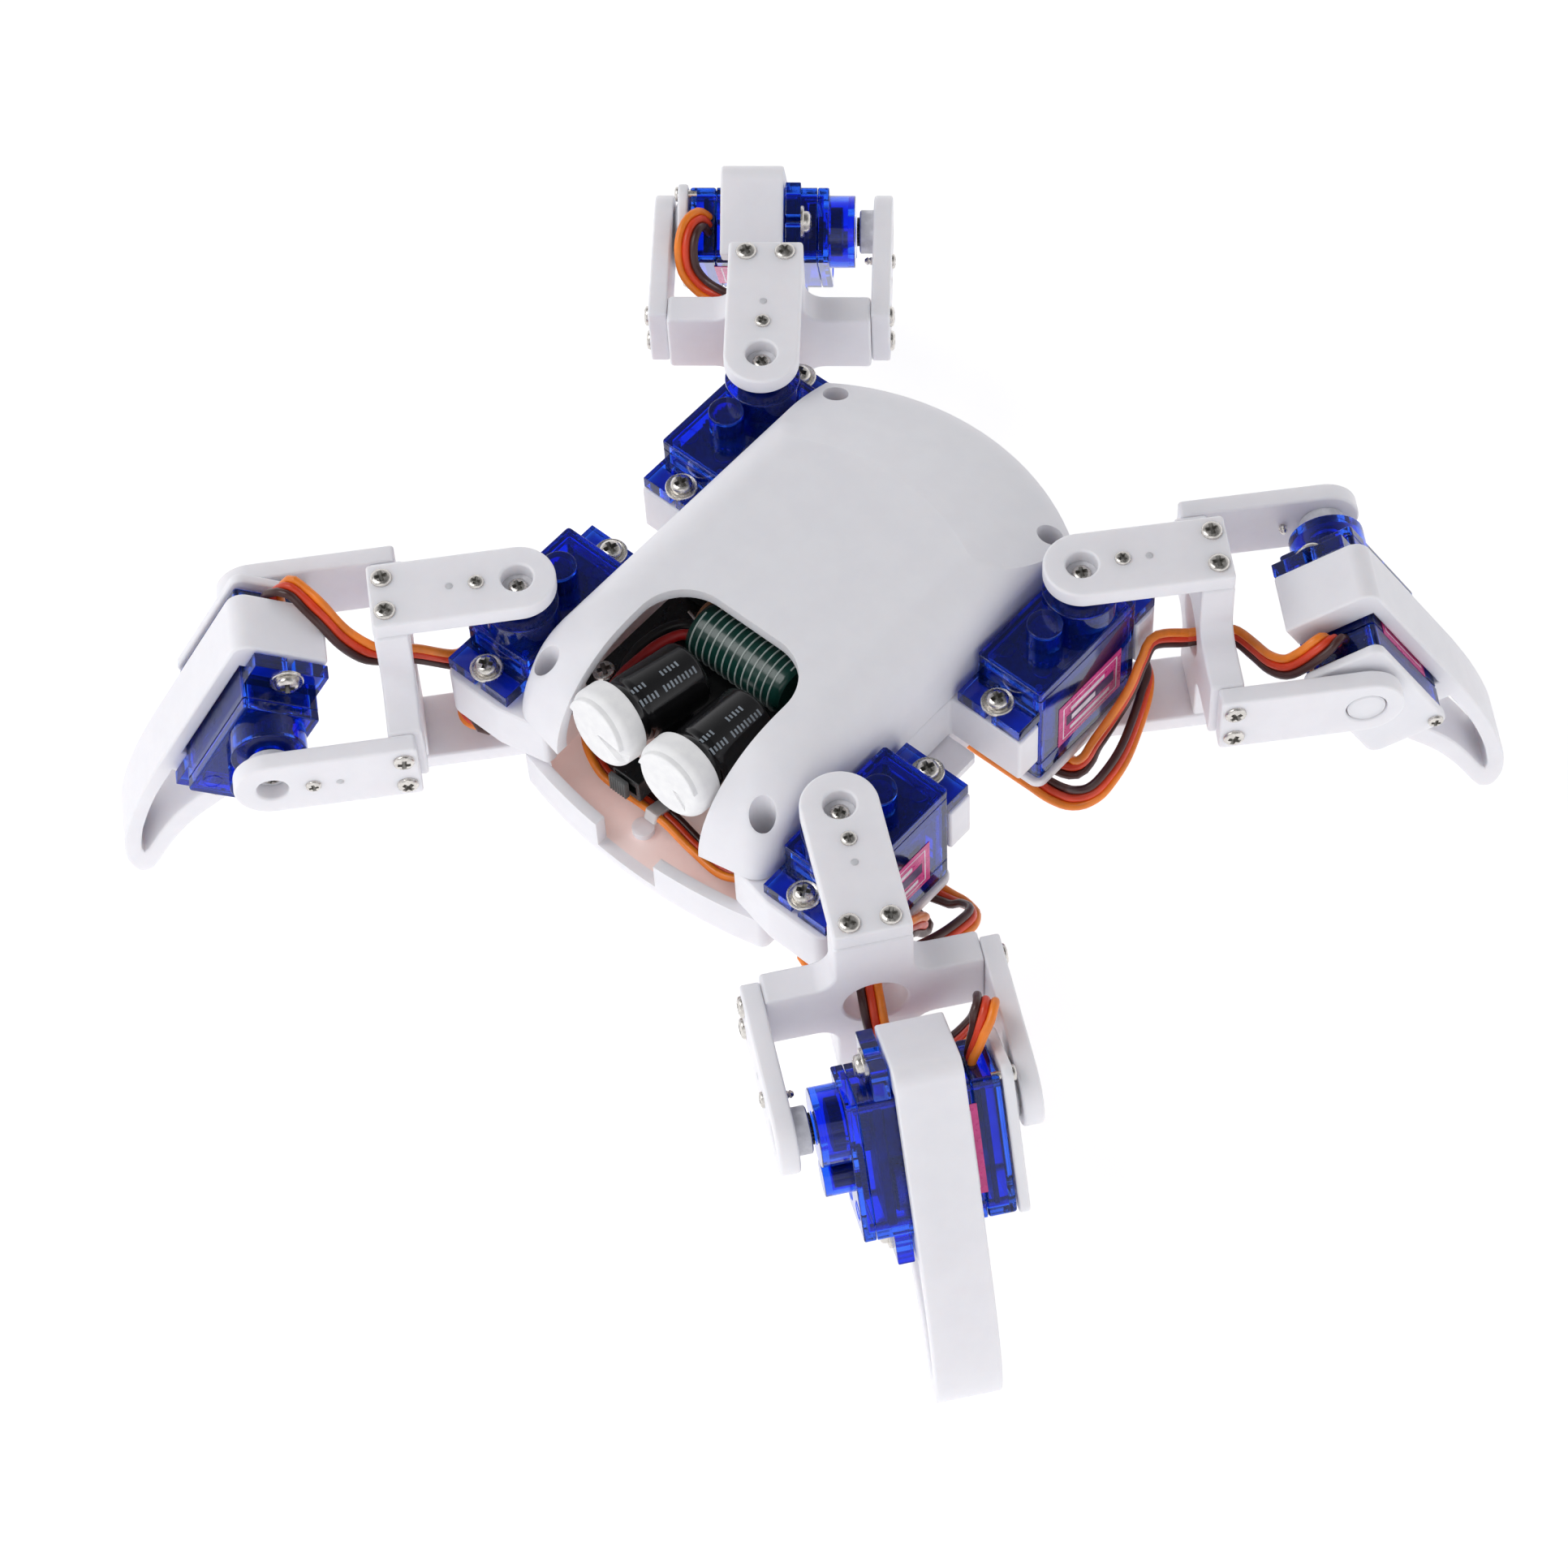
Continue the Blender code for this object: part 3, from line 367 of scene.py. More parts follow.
def surface(name, colour, roughness, tones, wear, grain, **sockets):
    """A material whose colour, roughness and bump each follow a noise.

    Tones are the noise's scale and the two colours, wear is its scale and the two roughnesses, and grain is
    its scale, the bump's strength and height in metres, and the noise's detail.
    """
    made = new_material(name, colour, roughness, **sockets)
    link, shader = made.node_tree.links.new, made.node_tree.nodes["Principled BSDF"]
    scale, *colours = tones
    ramp = node(made, "ValToRGB")
    for stop, position, tone in zip(ramp.color_ramp.elements, (0.38, 0.64), colours):
        stop.position, stop.color = position, (*tone, 1)
    link(noise_of(made, scale, 3.0), ramp.inputs["Fac"])
    link(ramp.outputs["Color"], shader.inputs["Base Color"])
    scale, low, high = wear
    spread = node(made, "MapRange", From_Min=0.35, From_Max=0.65, To_Min=low, To_Max=high)
    link(noise_of(made, scale, 4.0), spread.inputs["Value"])
    link(spread.outputs["Result"], shader.inputs["Roughness"])
    scale, strength, height, detail = grain
    bump = node(made, "Bump", Strength=strength, Distance=height)
    link(noise_of(made, scale, detail), bump.inputs["Height"])
    link(bump.outputs["Normal"], shader.inputs["Normal"])
    return made


def shaded(colour, factor):
    return tuple(min(1, c * factor) for c in colour)


def white_plastic(name, dark, light, glow=0.0):
    """Cool white printed plastic: satin, a little translucent, with a fine grain and faint scuffs.

    The glow stands for the daylight that comes through a thin wall from its other side.
    """
    return surface(name, light, 0.42, (240, dark, light), (900, 0.34, 0.5), (5200, 0.22, 0.00004, 6.0),
                   Subsurface_Weight=0.4, Subsurface_Scale=1.0, Subsurface_Radius=(0.0026, 0.0022, 0.002),
                   IOR=1.46, Emission_Color=(*light, 1), Emission_Strength=glow)


def dull_metal(name, colour, roughness):
    return surface(name, colour, roughness, (1500, shaded(colour, 0.82), colour),
                   (2600, roughness - 0.08, roughness + 0.12), (2400, 0.12, 0.00003, 4.0), Metallic=1.0)


def plain_plastic(name, colour, roughness, grain=2600):
    return surface(name, colour, roughness, (500, shaded(colour, 0.85), shaded(colour, 1.1)),
                   (1300, roughness * 0.8, min(1, roughness * 1.25)), (grain, 0.16, 0.00003, 4.0))


def rubber(name, colour):
    """Soft wire insulation with a slight sheen."""
    return surface(name, colour, 0.36, (300, shaded(colour, 0.88), shaded(colour, 1.08)), (1100, 0.28, 0.46),
                   (1800, 0.1, 0.00003, 4.0), Coat_Weight=0.15, Coat_Roughness=0.3)


# The eye caps' chalkier white, rough from the printer.
CAP_WHITE = surface("cap_plastic", (0.88, 0.88, 0.885), 0.6, (500, (0.85, 0.85, 0.86), (0.9, 0.9, 0.9)),
                    (1500, 0.52, 0.68), (3000, 0.35, 0.00006, 6.0), Subsurface_Weight=0.1,
                    Subsurface_Radius=(0.001, 0.001, 0.001), Subsurface_Scale=1.0)
# Clear deep blue servo plastic, with light moulding flow marks.
BLUE = surface("blue_plastic", (0.02, 0.13, 0.95), 0.05, (180, (0.015, 0.11, 0.88), (0.03, 0.16, 1.0)),
               (1100, 0.02, 0.08), (400, 0.06, 0.0001, 2.0), IOR=1.46, Transmission_Weight=0.96,
               Specular_IOR_Level=0.15)
CORE = surface("servo_core", (0.01, 0.02, 0.09), 0.4, (900, (0.006, 0.012, 0.05), (0.02, 0.04, 0.16)),
               (700, 0.35, 0.6), (900, 0.3, 0.0001, 4.0))
CLEAR = surface("clear_plastic", (0.86, 0.87, 0.88), 0.4, (400, (0.8, 0.81, 0.82), (0.9, 0.9, 0.91)),
                (800, 0.36, 0.5), (900, 0.1, 0.00004, 4.0), Transmission_Weight=0.3, IOR=1.45)
WHITE = white_plastic("white_plastic", (0.842, 0.834, 0.874), (0.86, 0.852, 0.89))
# The tray's inside is painted light: its warm pink tint and its glow (emission 0.14) stand in for daylight
# coming through the thin walls.
TRAY_INSIDE_PAINTED_GLOW = white_plastic("tray_plastic_painted_glow", (0.85, 0.7, 0.675), (0.87, 0.74, 0.715), 0.14)
SILVER = dull_metal("screw_steel", (0.74, 0.71, 0.67), 0.26)
# Darker steel for the faces of a screw's cross recess: painted shade for the shadow inside the recess.
RECESS_PAINTED_SHADE = dull_metal("screw_recess_painted_shade", (0.3, 0.29, 0.27), 0.42)
CAN_METAL = dull_metal("motor_steel", (0.35, 0.36, 0.4), 0.32)
TIN = dull_metal("tinned_lead", (0.7, 0.68, 0.66), 0.3)
HUB_WHITE = plain_plastic("hub_plastic", (0.72, 0.72, 0.75), 0.38)
SPLINE_BLACK = plain_plastic("spline_black", (0.012, 0.012, 0.014), 0.35)
SLEEVE_BLACK = plain_plastic("can_sleeve", (0.008, 0.008, 0.009), 0.12, 900)
COPPER = dull_metal("copper_lead", (0.75, 0.4, 0.22), 0.35)
MARK_GREY = plain_plastic("sleeve_marks", (0.26, 0.3, 0.34), 0.4)
BOARD_BLACK = plain_plastic("solder_mask", (0.011, 0.012, 0.013), 0.32)
CHIP_BLACK = plain_plastic("chip_black", (0.02, 0.02, 0.021), 0.55)
COIL_GREEN = plain_plastic("coil_green", (0.006, 0.045, 0.035), 0.2, 900)
COIL_RING = plain_plastic("coil_ring", (0.5, 0.56, 0.54), 0.3)
LABEL_PINK = plain_plastic("label_pink", (0.62, 0.045, 0.24), 0.3)
LABEL_WHITE = plain_plastic("label_white", (0.78, 0.7, 0.78), 0.35)
LABEL_DARK = plain_plastic("label_dark", (0.05, 0.02, 0.1), 0.35)
SWITCH_GREY = plain_plastic("slider_grey", (0.1, 0.105, 0.105), 0.5)
PACK_SILVER = plain_plastic("pack_wrap", (0.34, 0.36, 0.38), 0.3, 500)
WIRE_BROWN = rubber("wire_brown", (0.055, 0.014, 0.012))
WIRE_RED = rubber("wire_red", (0.72, 0.05, 0.01))
WIRE_ORANGE = rubber("wire_orange", (0.92, 0.24, 0.015))
WIRE_BLACK = rubber("wire_black", (0.01, 0.01, 0.011))
WIRE_THICK_RED = rubber("wire_thick_red", (0.5, 0.012, 0.012))


# ---- placing

def piece(name, mesh, matrix, body, replaces=(), finish=None):
    """A piece of the visual model on a CAD body, shaded smooth with its flat faces kept flat."""
    mesh.shade_smooth()
    mesh.set_sharp_from_angle(angle=math.radians(40))
    if finish is not None and not mesh.materials:
        mesh.materials.append(finish)
    made = add_object(name, mesh)
    made.matrix_world = matrix
    normals = made.modifiers.new("flat_faces", "WEIGHTED_NORMAL")
    normals.keep_sharp = True
    normals.weight = 80
    if body is not None:
        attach(made, body)
    if replaces:
        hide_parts(*replaces)
    return made


def leg_frame(corner):
    along = KNEES[corner] - HIPS[corner]
    return axes(HIPS[corner] / MM, (along.x, along.y, 0), (0, 0, 1))


def horn_side(corner):
    """+1 where the knee servo's horn is on the leg's own left, and -1 on its right."""
    low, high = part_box(f"knee_horn_plate_{corner}")
    return 1 if (leg_frame(corner).inverted() @ ((low + high) / 2)).y > 0 else -1


def quarter(corner):
    """The signs of X and Y in a leg's quarter of the body."""
    offset = HIPS[corner] - CENTRE
    return (1 if offset.x > 0 else -1), (1 if offset.y > 0 else -1)


# ---- screws

def blade(reach, half, z):
    return [(-reach, -half, z), (reach, -half, z), (reach, half, z), (-reach, half, z)]


def screw_mesh(radius, height):
    """A screw's pan head with a cross recess, from its seat at Z = 0."""
    dome = [(1, 0), (1, 0.42), (0.95, 0.66), (0.82, 0.85), (0.58, 0.97), (0.3, 1)]
    head = painted(turned([(radius * r, height * h) for r, h in dome], 28), (SILVER, RECESS_PAINTED_SHADE), 0)
    cutters = []
    for angle in (0, 90):
        deep = blade(radius * 0.34, radius * 0.11, height * 0.35)
        wide = blade(radius * 0.74, radius * 0.25, height * 1.2)
        # The recess's faces take the darker steel, painted shade inside the cross recess.
        cutter = painted(loft([deep, wide]), (SILVER, RECESS_PAINTED_SHADE), 1)
        cutter.transform(turn(angle))
        cutters.append(cutter)
    return combined(head, cutters, "DIFFERENCE")


def thread_mesh(radius, bottom, top, pitch=0.5):
    """A threaded shank along Z, as a row of ridges."""
    profile, z = [(radius * 0.5, bottom)], bottom + 0.2
    while z + pitch < top:
        profile += [(radius * 0.72, z), (radius, z + pitch / 2)]
        z += pitch
    return turned([*profile, (radius * 0.72, top)], 16)


def washer_mesh(radius, thickness):
    rim = radius - 0.15
    return turned([(radius, 0), (radius, thickness * 0.7), (rim, thickness), (rim - 0.3, thickness),
                   (rim - 0.45, thickness * 0.8), (radius * 0.55, thickness * 0.8)])


WASHER_RADIUS = 2.55
WASHER_THICKNESS = 0.45
FLANGE_SCREW = screw_mesh(1.75, 1.25)
FLANGE_WASHER = washer_mesh(WASHER_RADIUS, WASHER_THICKNESS)
END_SCREW = screw_mesh(1.6, 0.75)
SMALL_SCREW = screw_mesh(1.2, 0.6)
SHAFT_SCREW = screw_mesh(1.45, 0.8)
THIN_SHANK = thread_mesh(0.65, -1.4, 0.2)
HOLDER_SHANK = turned([(0.65, 0), (0.65, 3)], 14)


# ---- servos

CASE_NEAR, CASE_FAR, CASE_HALF = -5.9, 16.9, 6.1
CASE_WALL = 1.0
CASE_SEAM, CASE_TOP = -13.7, 2.4
LID_TOP, CASE_BACK = 4.3, -18.0
FLANGE_REACH = 4.7
FLANGE_THICKNESS = 2.5
FLANGE_HOLE_INSET = 2.2
BOSS_TOP = 8.4
BOSS_RADIUS = 5.8
IDLER_X, IDLER_RADIUS = 8.5, 2.75
MOTOR_X = 10.7


def case_outline(wall):
    return rectangle(CASE_NEAR + wall, CASE_FAR - wall, -CASE_HALF + wall, CASE_HALF - wall, 0.6, 4)


def gear_outline(radius, teeth, depth, x=0.0):
    points = []
    for i in range(teeth * 4):
        angle = math.tau * i / (teeth * 4)
        r = radius if i % 4 < 2 else radius - depth
        points.append((x + r * math.cos(angle), r * math.sin(angle)))
    return points


def flange_end_mesh():
    """One end of the flange from X = 0, with its screw hole open outward through a slit."""
    slit, hole, half = 0.6, 1.1, CASE_HALF - 0.2
    mouth = math.degrees(math.asin(slit / hole))
    outline = [(0, slit), *arc(FLANGE_HOLE_INSET, 0, hole, 180 - mouth, -180 + mouth, 16), (0, -slit),
               (0, -half), (FLANGE_REACH + 0.5, -half), (FLANGE_REACH + 0.5, half), (0, half)]
    return slab(outline, -FLANGE_THICKNESS, 0, edge=0.18, steps=2)


def case_middle_mesh():
    """The middle of a servo's case: four clear walls, and the flange's two ends."""
    walls = slab(case_outline(0), CASE_SEAM, CASE_TOP, [case_outline(CASE_WALL)], edge=0.1, steps=1)
    near, far = flange_end_mesh(), flange_end_mesh()
    near.transform(shift(CASE_NEAR - FLANGE_REACH, 0, 0))
    far.transform(shift(CASE_FAR + FLANGE_REACH, 0, 0) @ turn(180))
    return combined(walls, [near, far], "UNION")


def top_cover_mesh():
    """The case's top cover, hollow under its two joined bosses."""
    bottom, roof = CASE_TOP + 0.08, LID_TOP - 0.9
    cover = slab(case_outline(0), bottom, LID_TOP, edge=0.25)
    bosses = [slab(circle(0, 0, BOSS_RADIUS), LID_TOP - 0.5, BOSS_TOP, edge=0.2),
              slab(circle(IDLER_X, 0, IDLER_RADIUS, 28), LID_TOP - 0.5, BOSS_TOP - 0.02, edge=0.2)]
    cover = combined(cover, bosses, "UNION")
    hollows = [slab(case_outline(CASE_WALL), bottom - 1, roof, edge=0),
               slab(circle(0, 0, BOSS_RADIUS - 0.9), bottom, BOSS_TOP - 1.1, edge=0),
               slab(circle(IDLER_X, 0, IDLER_RADIUS - 0.7, 24), bottom, BOSS_TOP - 1.1, edge=0),
               slab(circle(0, 0, 2.5, 28), roof, BOSS_TOP + 1, edge=0)]
    return combined(cover, hollows, "DIFFERENCE")


def bottom_cover_mesh():
    cover = slab(case_outline(0), CASE_BACK, CASE_SEAM - 0.1, edge=0.45)
    hollow = slab(case_outline(CASE_WALL), CASE_BACK + CASE_WALL, CASE_SEAM + 1, edge=0)
    return combined(cover, [hollow], "DIFFERENCE")


def servo_inside():
    """What shows through the case: motor, gear train, feedback block, circuit board and case screws."""
    inner = CASE_WALL + 0.15
    deck = slab(case_outline(inner), -0.9, 0.5, edge=0.15, steps=1)
    block = slab(rectangle(-4.4, 4.6, -4.6, 4.6, 0.8), -12.4, -1.0, edge=0.3)
    motor = turned([(4.2, -12.8), (4.7, -12.4), (4.7, -1.6), (4.3, -1.2)])
    motor_cap = turned([(3.6, -13.6), (4.1, -13.4), (4.1, -12.6)])
    board = slab(case_outline(inner), -15.8, -15.0, edge=0.1, steps=1)
    chip = slab(rectangle(-2.2, 2.2, -2.0, 2.0, 0.2), -15.0, -14.2, edge=0.1, steps=1)
    parts = [(deck, HERE, CORE), (block, HERE, CORE), (motor, shift(MOTOR_X, 0, 0), CAN_METAL),
             (motor_cap, shift(MOTOR_X, 0, 0), CORE), (board, HERE, BOARD_BLACK),
             (chip, shift(1, 0, 0), CHIP_BLACK)]
    gears = [(0, 4.5, 28, 1.0, 2.1), (0, 3.9, 24, 4.5, 6.3),
             (IDLER_X, 4.0, 26, 2.2, 3.1), (IDLER_X, 1.7, 12, 3.1, 6.8)]
    for x, radius, teeth, bottom, top in gears:
        parts.append((slab(gear_outline(radius, teeth, 0.35, x), bottom, top, edge=0), HERE, CORE))
    for x in (CASE_NEAR + 1.7, CASE_FAR - 1.7):
        for y in (-4.4, 4.4):
            parts.append((turned([(0.55, CASE_BACK + 0.2), (0.55, LID_TOP - 1.2)], 12), shift(x, y, 0), TIN))
    return parts


def label_parts(side):
    """A servo's sticker with a thin border and plain bars, on the case's side at +Y or -Y."""
    length, height, film, margin, line = 7.4, 5.0, 0.08, 1.0, 0.22
    place = axes((5.0, side * CASE_HALF, -9.2), (side * -1, 0, 0), (0, side, 0))

    def panel(less):
        return rectangle(less - length, length - less, less - height, height - less, 0)

    layers = [(slab(panel(0), -0.05, film, edge=0), place, LABEL_PINK),
              (slab(panel(margin), 0, film + 0.03, [panel(margin + line)], edge=0), place, LABEL_WHITE)]
    bars = [(-4.6, 3.4, 1.7, 2.7, LABEL_WHITE), (-5.6, 5.6, -1.2, 1.2, LABEL_DARK),
            (-4.4, 1.2, -0.6, 0.6, LABEL_WHITE), (-4.8, 4.6, -2.8, -2.0, LABEL_WHITE)]
    for i, (*sides, finish) in enumerate(bars):
        layers.append((slab(rectangle(*sides, 0), 0, film + 0.02 * (i + 1), edge=0), place, finish))
    return layers


def servo_mesh():
    parts = [(make(), HERE, BLUE) for make in (case_middle_mesh, top_cover_mesh, bottom_cover_mesh)]
    parts += servo_inside() + label_parts(1) + label_parts(-1)
    for x, y in ((13.6, -3.4), (13.0, 3.2)):
        ring = slab(circle(0, 0, 1.5, 24), LID_TOP - 0.05, LID_TOP + 0.07, [circle(0, 0, 1.3, 24)], edge=0)
        parts.append((ring, shift(x, y, 0), BLUE))
    for x, angle in ((CASE_NEAR - FLANGE_REACH + FLANGE_HOLE_INSET, 25),
                     (CASE_FAR + FLANGE_REACH - FLANGE_HOLE_INSET, 70)):
        parts.append((FLANGE_WASHER, shift(x, 0, 0), SILVER))
        parts.append((FLANGE_SCREW, shift(x, 0, WASHER_THICKNESS - 0.1) @ turn(angle), None))
    return gathered(parts)


# ---- leg parts

def plate_outline():
    half = PLATE_HALF_WIDTH
    straight = [(0, -half, 0), (PLATE_END, -half, 0.6), (PLATE_END, half, 0.6), (0, half, 0)]
    return [*arc(0, 0, half, 90, 270, 28)[1:-1], *rounded(straight, 4)]


def end_screws(z, angles):
    return [(END_SCREW, shift(PLATE_SCREW_X, y, z) @ turn(angle), None) for y, angle in zip((-3, 3), angles)]


def horn_plate_mesh(angles):
    """A link plate on a servo horn, with the horn's hub, its spline and four screws."""
    top = PLATE_THICKNESS
    plate = slab(plate_outline(), 0, top, [circle(0, 0, 2.4, 32)], edge=0.45)
    hub = turned([(3.2, -2.3), (3.5, -2.1), (3.5, 0.2), (2.5, 0.35), (2.2, 0.35)])
    spline = slab(gear_outline(2.3, 21, 0.25), -2.75, -1.0, edge=0)
    parts = [(plate, HERE, WHITE), (hub, HERE, HUB_WHITE), (spline, HERE, SPLINE_BLACK),
             (SHAFT_SCREW, shift(0, 0, 0.3) @ turn(angles[0]), None),
             (SMALL_SCREW, shift(6.1, 0, top - 0.05) @ turn(angles[1]), None),
             (THIN_SHANK, shift(6.1, 0, 0), SILVER),
             (turned([(0.6, 0), (0.5, 0.07)], 20), shift(10.1, 0, top - 0.01), WHITE)]
    return gathered(parts + end_screws(top - 0.05, angles[2:]))


def pivot_plate_mesh(angles):
    plate = slab(plate_outline(), 0, PLATE_THICKNESS, [circle(0, 0, 3.1, 36)], edge=0.4)
    return gathered([(plate, HERE, WHITE)] + end_screws(PLATE_THICKNESS - 0.05, angles))


def holder_mesh():
    """The plate under a servo's back, its pivot disc and pin, and two corner screws."""
    plate_top, plate_bottom, pin_end = CASE_BACK - GAP, CASE_BACK - GAP - 1.6, -PIVOT_STACK - PLATE_THICKNESS
    plate = slab(rectangle(-7.2, 17.5, -6.6, 6.6, 1.8), plate_bottom, plate_top, edge=0.4)
    disc = turned([(4.2, GAP - PIVOT_STACK), (4.5, GAP - PIVOT_STACK + 0.2), (4.5, plate_bottom + 0.3)])
    pin = turned([(2.5, pin_end + 0.25), (2.7, pin_end + 0.1), (2.9, pin_end + 0.3),
                  (2.9, plate_bottom + 0.4)])
    parts = [(plate, HERE, WHITE), (disc, HERE, WHITE), (pin, HERE, WHITE)]
    for x, y in ((-5.4, 5.0), (15.8, -5.0)):
        head = shift(x, y, plate_bottom) @ turn(180, "X") @ turn(x * 9)
        parts += [(SMALL_SCREW, head, None), (HOLDER_SHANK, shift(x, y, plate_bottom), SILVER)]
    return gathered(parts)


def cross_mesh():
    """The cross block, drawn across the leg and up, and extruded along the leg."""
    half, edge, fillet = PLATE_HALF_WIDTH, 0.7, 3.0
    top, bottom, arm = HORN_STACK - SEAM, SEAM - PIVOT_STACK, SIDE_FACE - SEAM
    upper, lower = KNEE_Z + half, KNEE_Z - half
    outline = rounded([
        (half, top, edge), (-half, top, edge), (-half, upper, fillet), (-arm, upper, edge),
        (-arm, lower, edge), (-half, lower, fillet), (-half, bottom, edge), (half, bottom, edge),
        (half, lower, fillet), (arm, lower, edge), (arm, upper, edge), (half, upper, fillet),
    ])
    return slab(outline, 17.0, PLATE_END, [circle(0, KNEE_Z, 4.75, 44)], edge=0.45)


def shin_mesh():
    """The shin: a bracket open towards the body for the knee servo, over a curved claw with a window."""
    back = smooth_outline([(22, 8.9), (30, 8.5), (38, 7.4), (43.5, 5.9), (47.3, 3.9), (49.4, 1.6),
                           (49.5, 0.2), (48.4, -0.8)], 0.8)
    front = smooth_outline([(46.5, -1.0), (40, -1.1), (34, -2.0), (28, -4.0), (22.5, -5.9)], 1)
    head = rounded([
        (22.5, -5.9, 0), (17.2, -5.9, 0.6), (17.2, 6.4, 0), (-6.2, 6.4, 0), (-6.2, -5.9, 0.6),
        (-11.2, -5.9, 0.6), (-11.2, 8.9, 2.6), (0, 8.9, 0),
    ], 8)
    window = smooth_outline([(22, 6.2), (30, 6.0), (37.5, 4.9), (42, 3.6), (44.2, 2.6), (43.8, 1.9),
                             (38, 1.8), (33, 1.3), (27, -0.4), (22, -2.6)], 0.9)
    return slab([*head, *back, *front[:-1]], -5, 5, [window], edge=0.4)


# ---- leads

WIRE_RADIUS = 0.66
WIRE_SPACING = 1.27
WIRE_COLOURS = (WIRE_BROWN, WIRE_RED, WIRE_ORANGE)


def ribbon_mesh(route, sides, step=0.9):
    """A flat lead of three wires along a route; a side is the direction from the brown wire to the orange."""
    path, hints = smooth_path(route, step, sides)
    across = []
    for i, hint in enumerate(hints):
        along = (path[min(i + 1, len(path) - 1)] - path[max(i - 1, 0)]).normalized()
        across.append((hint - along * hint.dot(along)).normalized())
    parts = []
    for place, finish in zip((-1, 0, 1), WIRE_COLOURS):
        wire = [p + side * place * WIRE_SPACING for p, side in zip(path, across)]
        parts.append((tube(wire, WIRE_RADIUS, 12), HERE, finish))
    return gathered(parts)


# ---- body shells

SHELL_BOTTOM, SHELL_TOP = -2.5, 13.8
SHELL_HALF_WIDTH = 24.5
SHELL_SHOULDER_Z, SHELL_SHOULDER = 5.8, 8.0
SHELL_WALL = 2.0
SHELL_FRONT, SHELL_TOP_FRONT = 40.6, 22.0
SHELL_REAR, SHELL_TOP_REAR = 42.2, 22.8
FRONT_CURVE_RADIUS, SHELL_REAR_RADIUS, SHELL_TOP_REAR_RADIUS = 94.0, 42.3, 36.3
SHELL_CORNER, SHELL_TOP_CORNER = 3.5, 8.0
MOUTH_HALF_WIDTH, MOUTH_REAR, MOUTH_CORNER = 14.0, -11.2, 8.0
POST_X, POST_Y, POST_RADIUS, POST_HOLE_RADIUS = 21.2, 32.8, 3.6, 2.0
FRAME_TOP, FRAME_BOTTOM, FRAME_WALL_X = -2.8, -12.0, 23.1
TRAY_TOP, TRAY_BOTTOM, TRAY_FLOOR, TRAY_WALL = -12.3, -20.5, 1.8, 1.9
TRAY_HALF_WIDTH, TRAY_REAR, TRAY_REAR_RADIUS = 24.2, 40.5, 42.0
LIP_TOP = -13.2
NOTCH_X, NOTCH_HALF_WIDTH = -0.7, 5.8
FLOOR_TOP = TRAY_BOTTOM + TRAY_FLOOR
LEAD_SLOT, LEAD_SLOT_HALF = (19, 15), (2.6, 4.8)
LEDGE_END, LEDGE_HALF, LEDGE_HEIGHT = 29.8, 5.2, 1.5
AHEAD = -SHELL_FRONT - 5


def bowed(y_middle, radius, half_width, steps, side):
    """Points on a shallow arc across the body from -half_width to half_width, bulging to one side."""
    xs = [half_width * (2 * i / steps - 1) for i in range(steps + 1)]
    return [(x, side * (y_middle - radius + math.sqrt(radius * radius - x * x))) for x in xs]


def shell_ring(z, inset_by):
    """The top shell's outline at one height, drawn inward by a wall's thickness."""
    shoulder = SHELL_SHOULDER - inset_by
    rise = max(0.0, z - SHELL_SHOULDER_Z)
    half = SHELL_HALF_WIDTH - inset_by - shoulder + math.sqrt(max(0.0, shoulder ** 2 - rise ** 2))
    up = min(1.0, (z - SHELL_BOTTOM) / (SHELL_TOP - SHELL_BOTTOM - inset_by))
    bulge = SHELL_FRONT - SHELL_TOP_FRONT - inset_by
    front = SHELL_TOP_FRONT + bulge * math.sqrt(max(0.0, 1 - up * up))
    slope = min(1.0, rise / shoulder)
    rear = SHELL_REAR - inset_by - (SHELL_REAR - SHELL_TOP_REAR - inset_by * 0.2) * slope
    corner = SHELL_CORNER + (SHELL_TOP_CORNER - SHELL_CORNER) * up
    count = 24
    edge_front = bowed(front, FRONT_CURVE_RADIUS, half, count, -1)
    rear_radius = SHELL_REAR_RADIUS + (SHELL_TOP_REAR_RADIUS - SHELL_REAR_RADIUS) * slope - inset_by
    edge_rear = bowed(rear, rear_radius, half, count, 1)[::-1]
    ring = [(x, y, 0) for x, y in edge_front + edge_rear]
    ring[0] = (*edge_front[0], corner)
    ring[count] = (*edge_front[count], corner)
    spaced = [p for i, p in enumerate(ring) if i in (0, count) or 5 < i < count - 5 or i > count]
    return [(x, y, z) for x, y in rounded(spaced, 10)]


def shell_levels(top, turns):
    """Heights of the shell's rings, closer together where the roof turns over."""
    span = top - SHELL_SHOULDER_Z
    low = [SHELL_BOTTOM + (SHELL_SHOULDER_Z - SHELL_BOTTOM) * i / 5 for i in range(6)]
    bends = [math.radians(90 * i / turns) for i in range(1, turns + 1)]
    return low + [SHELL_SHOULDER_Z + span * math.sin(bend) for bend in bends]


def corner_posts():
    return [(x * POST_X, y * POST_Y) for x in (-1, 1) for y in (-1, 1)]


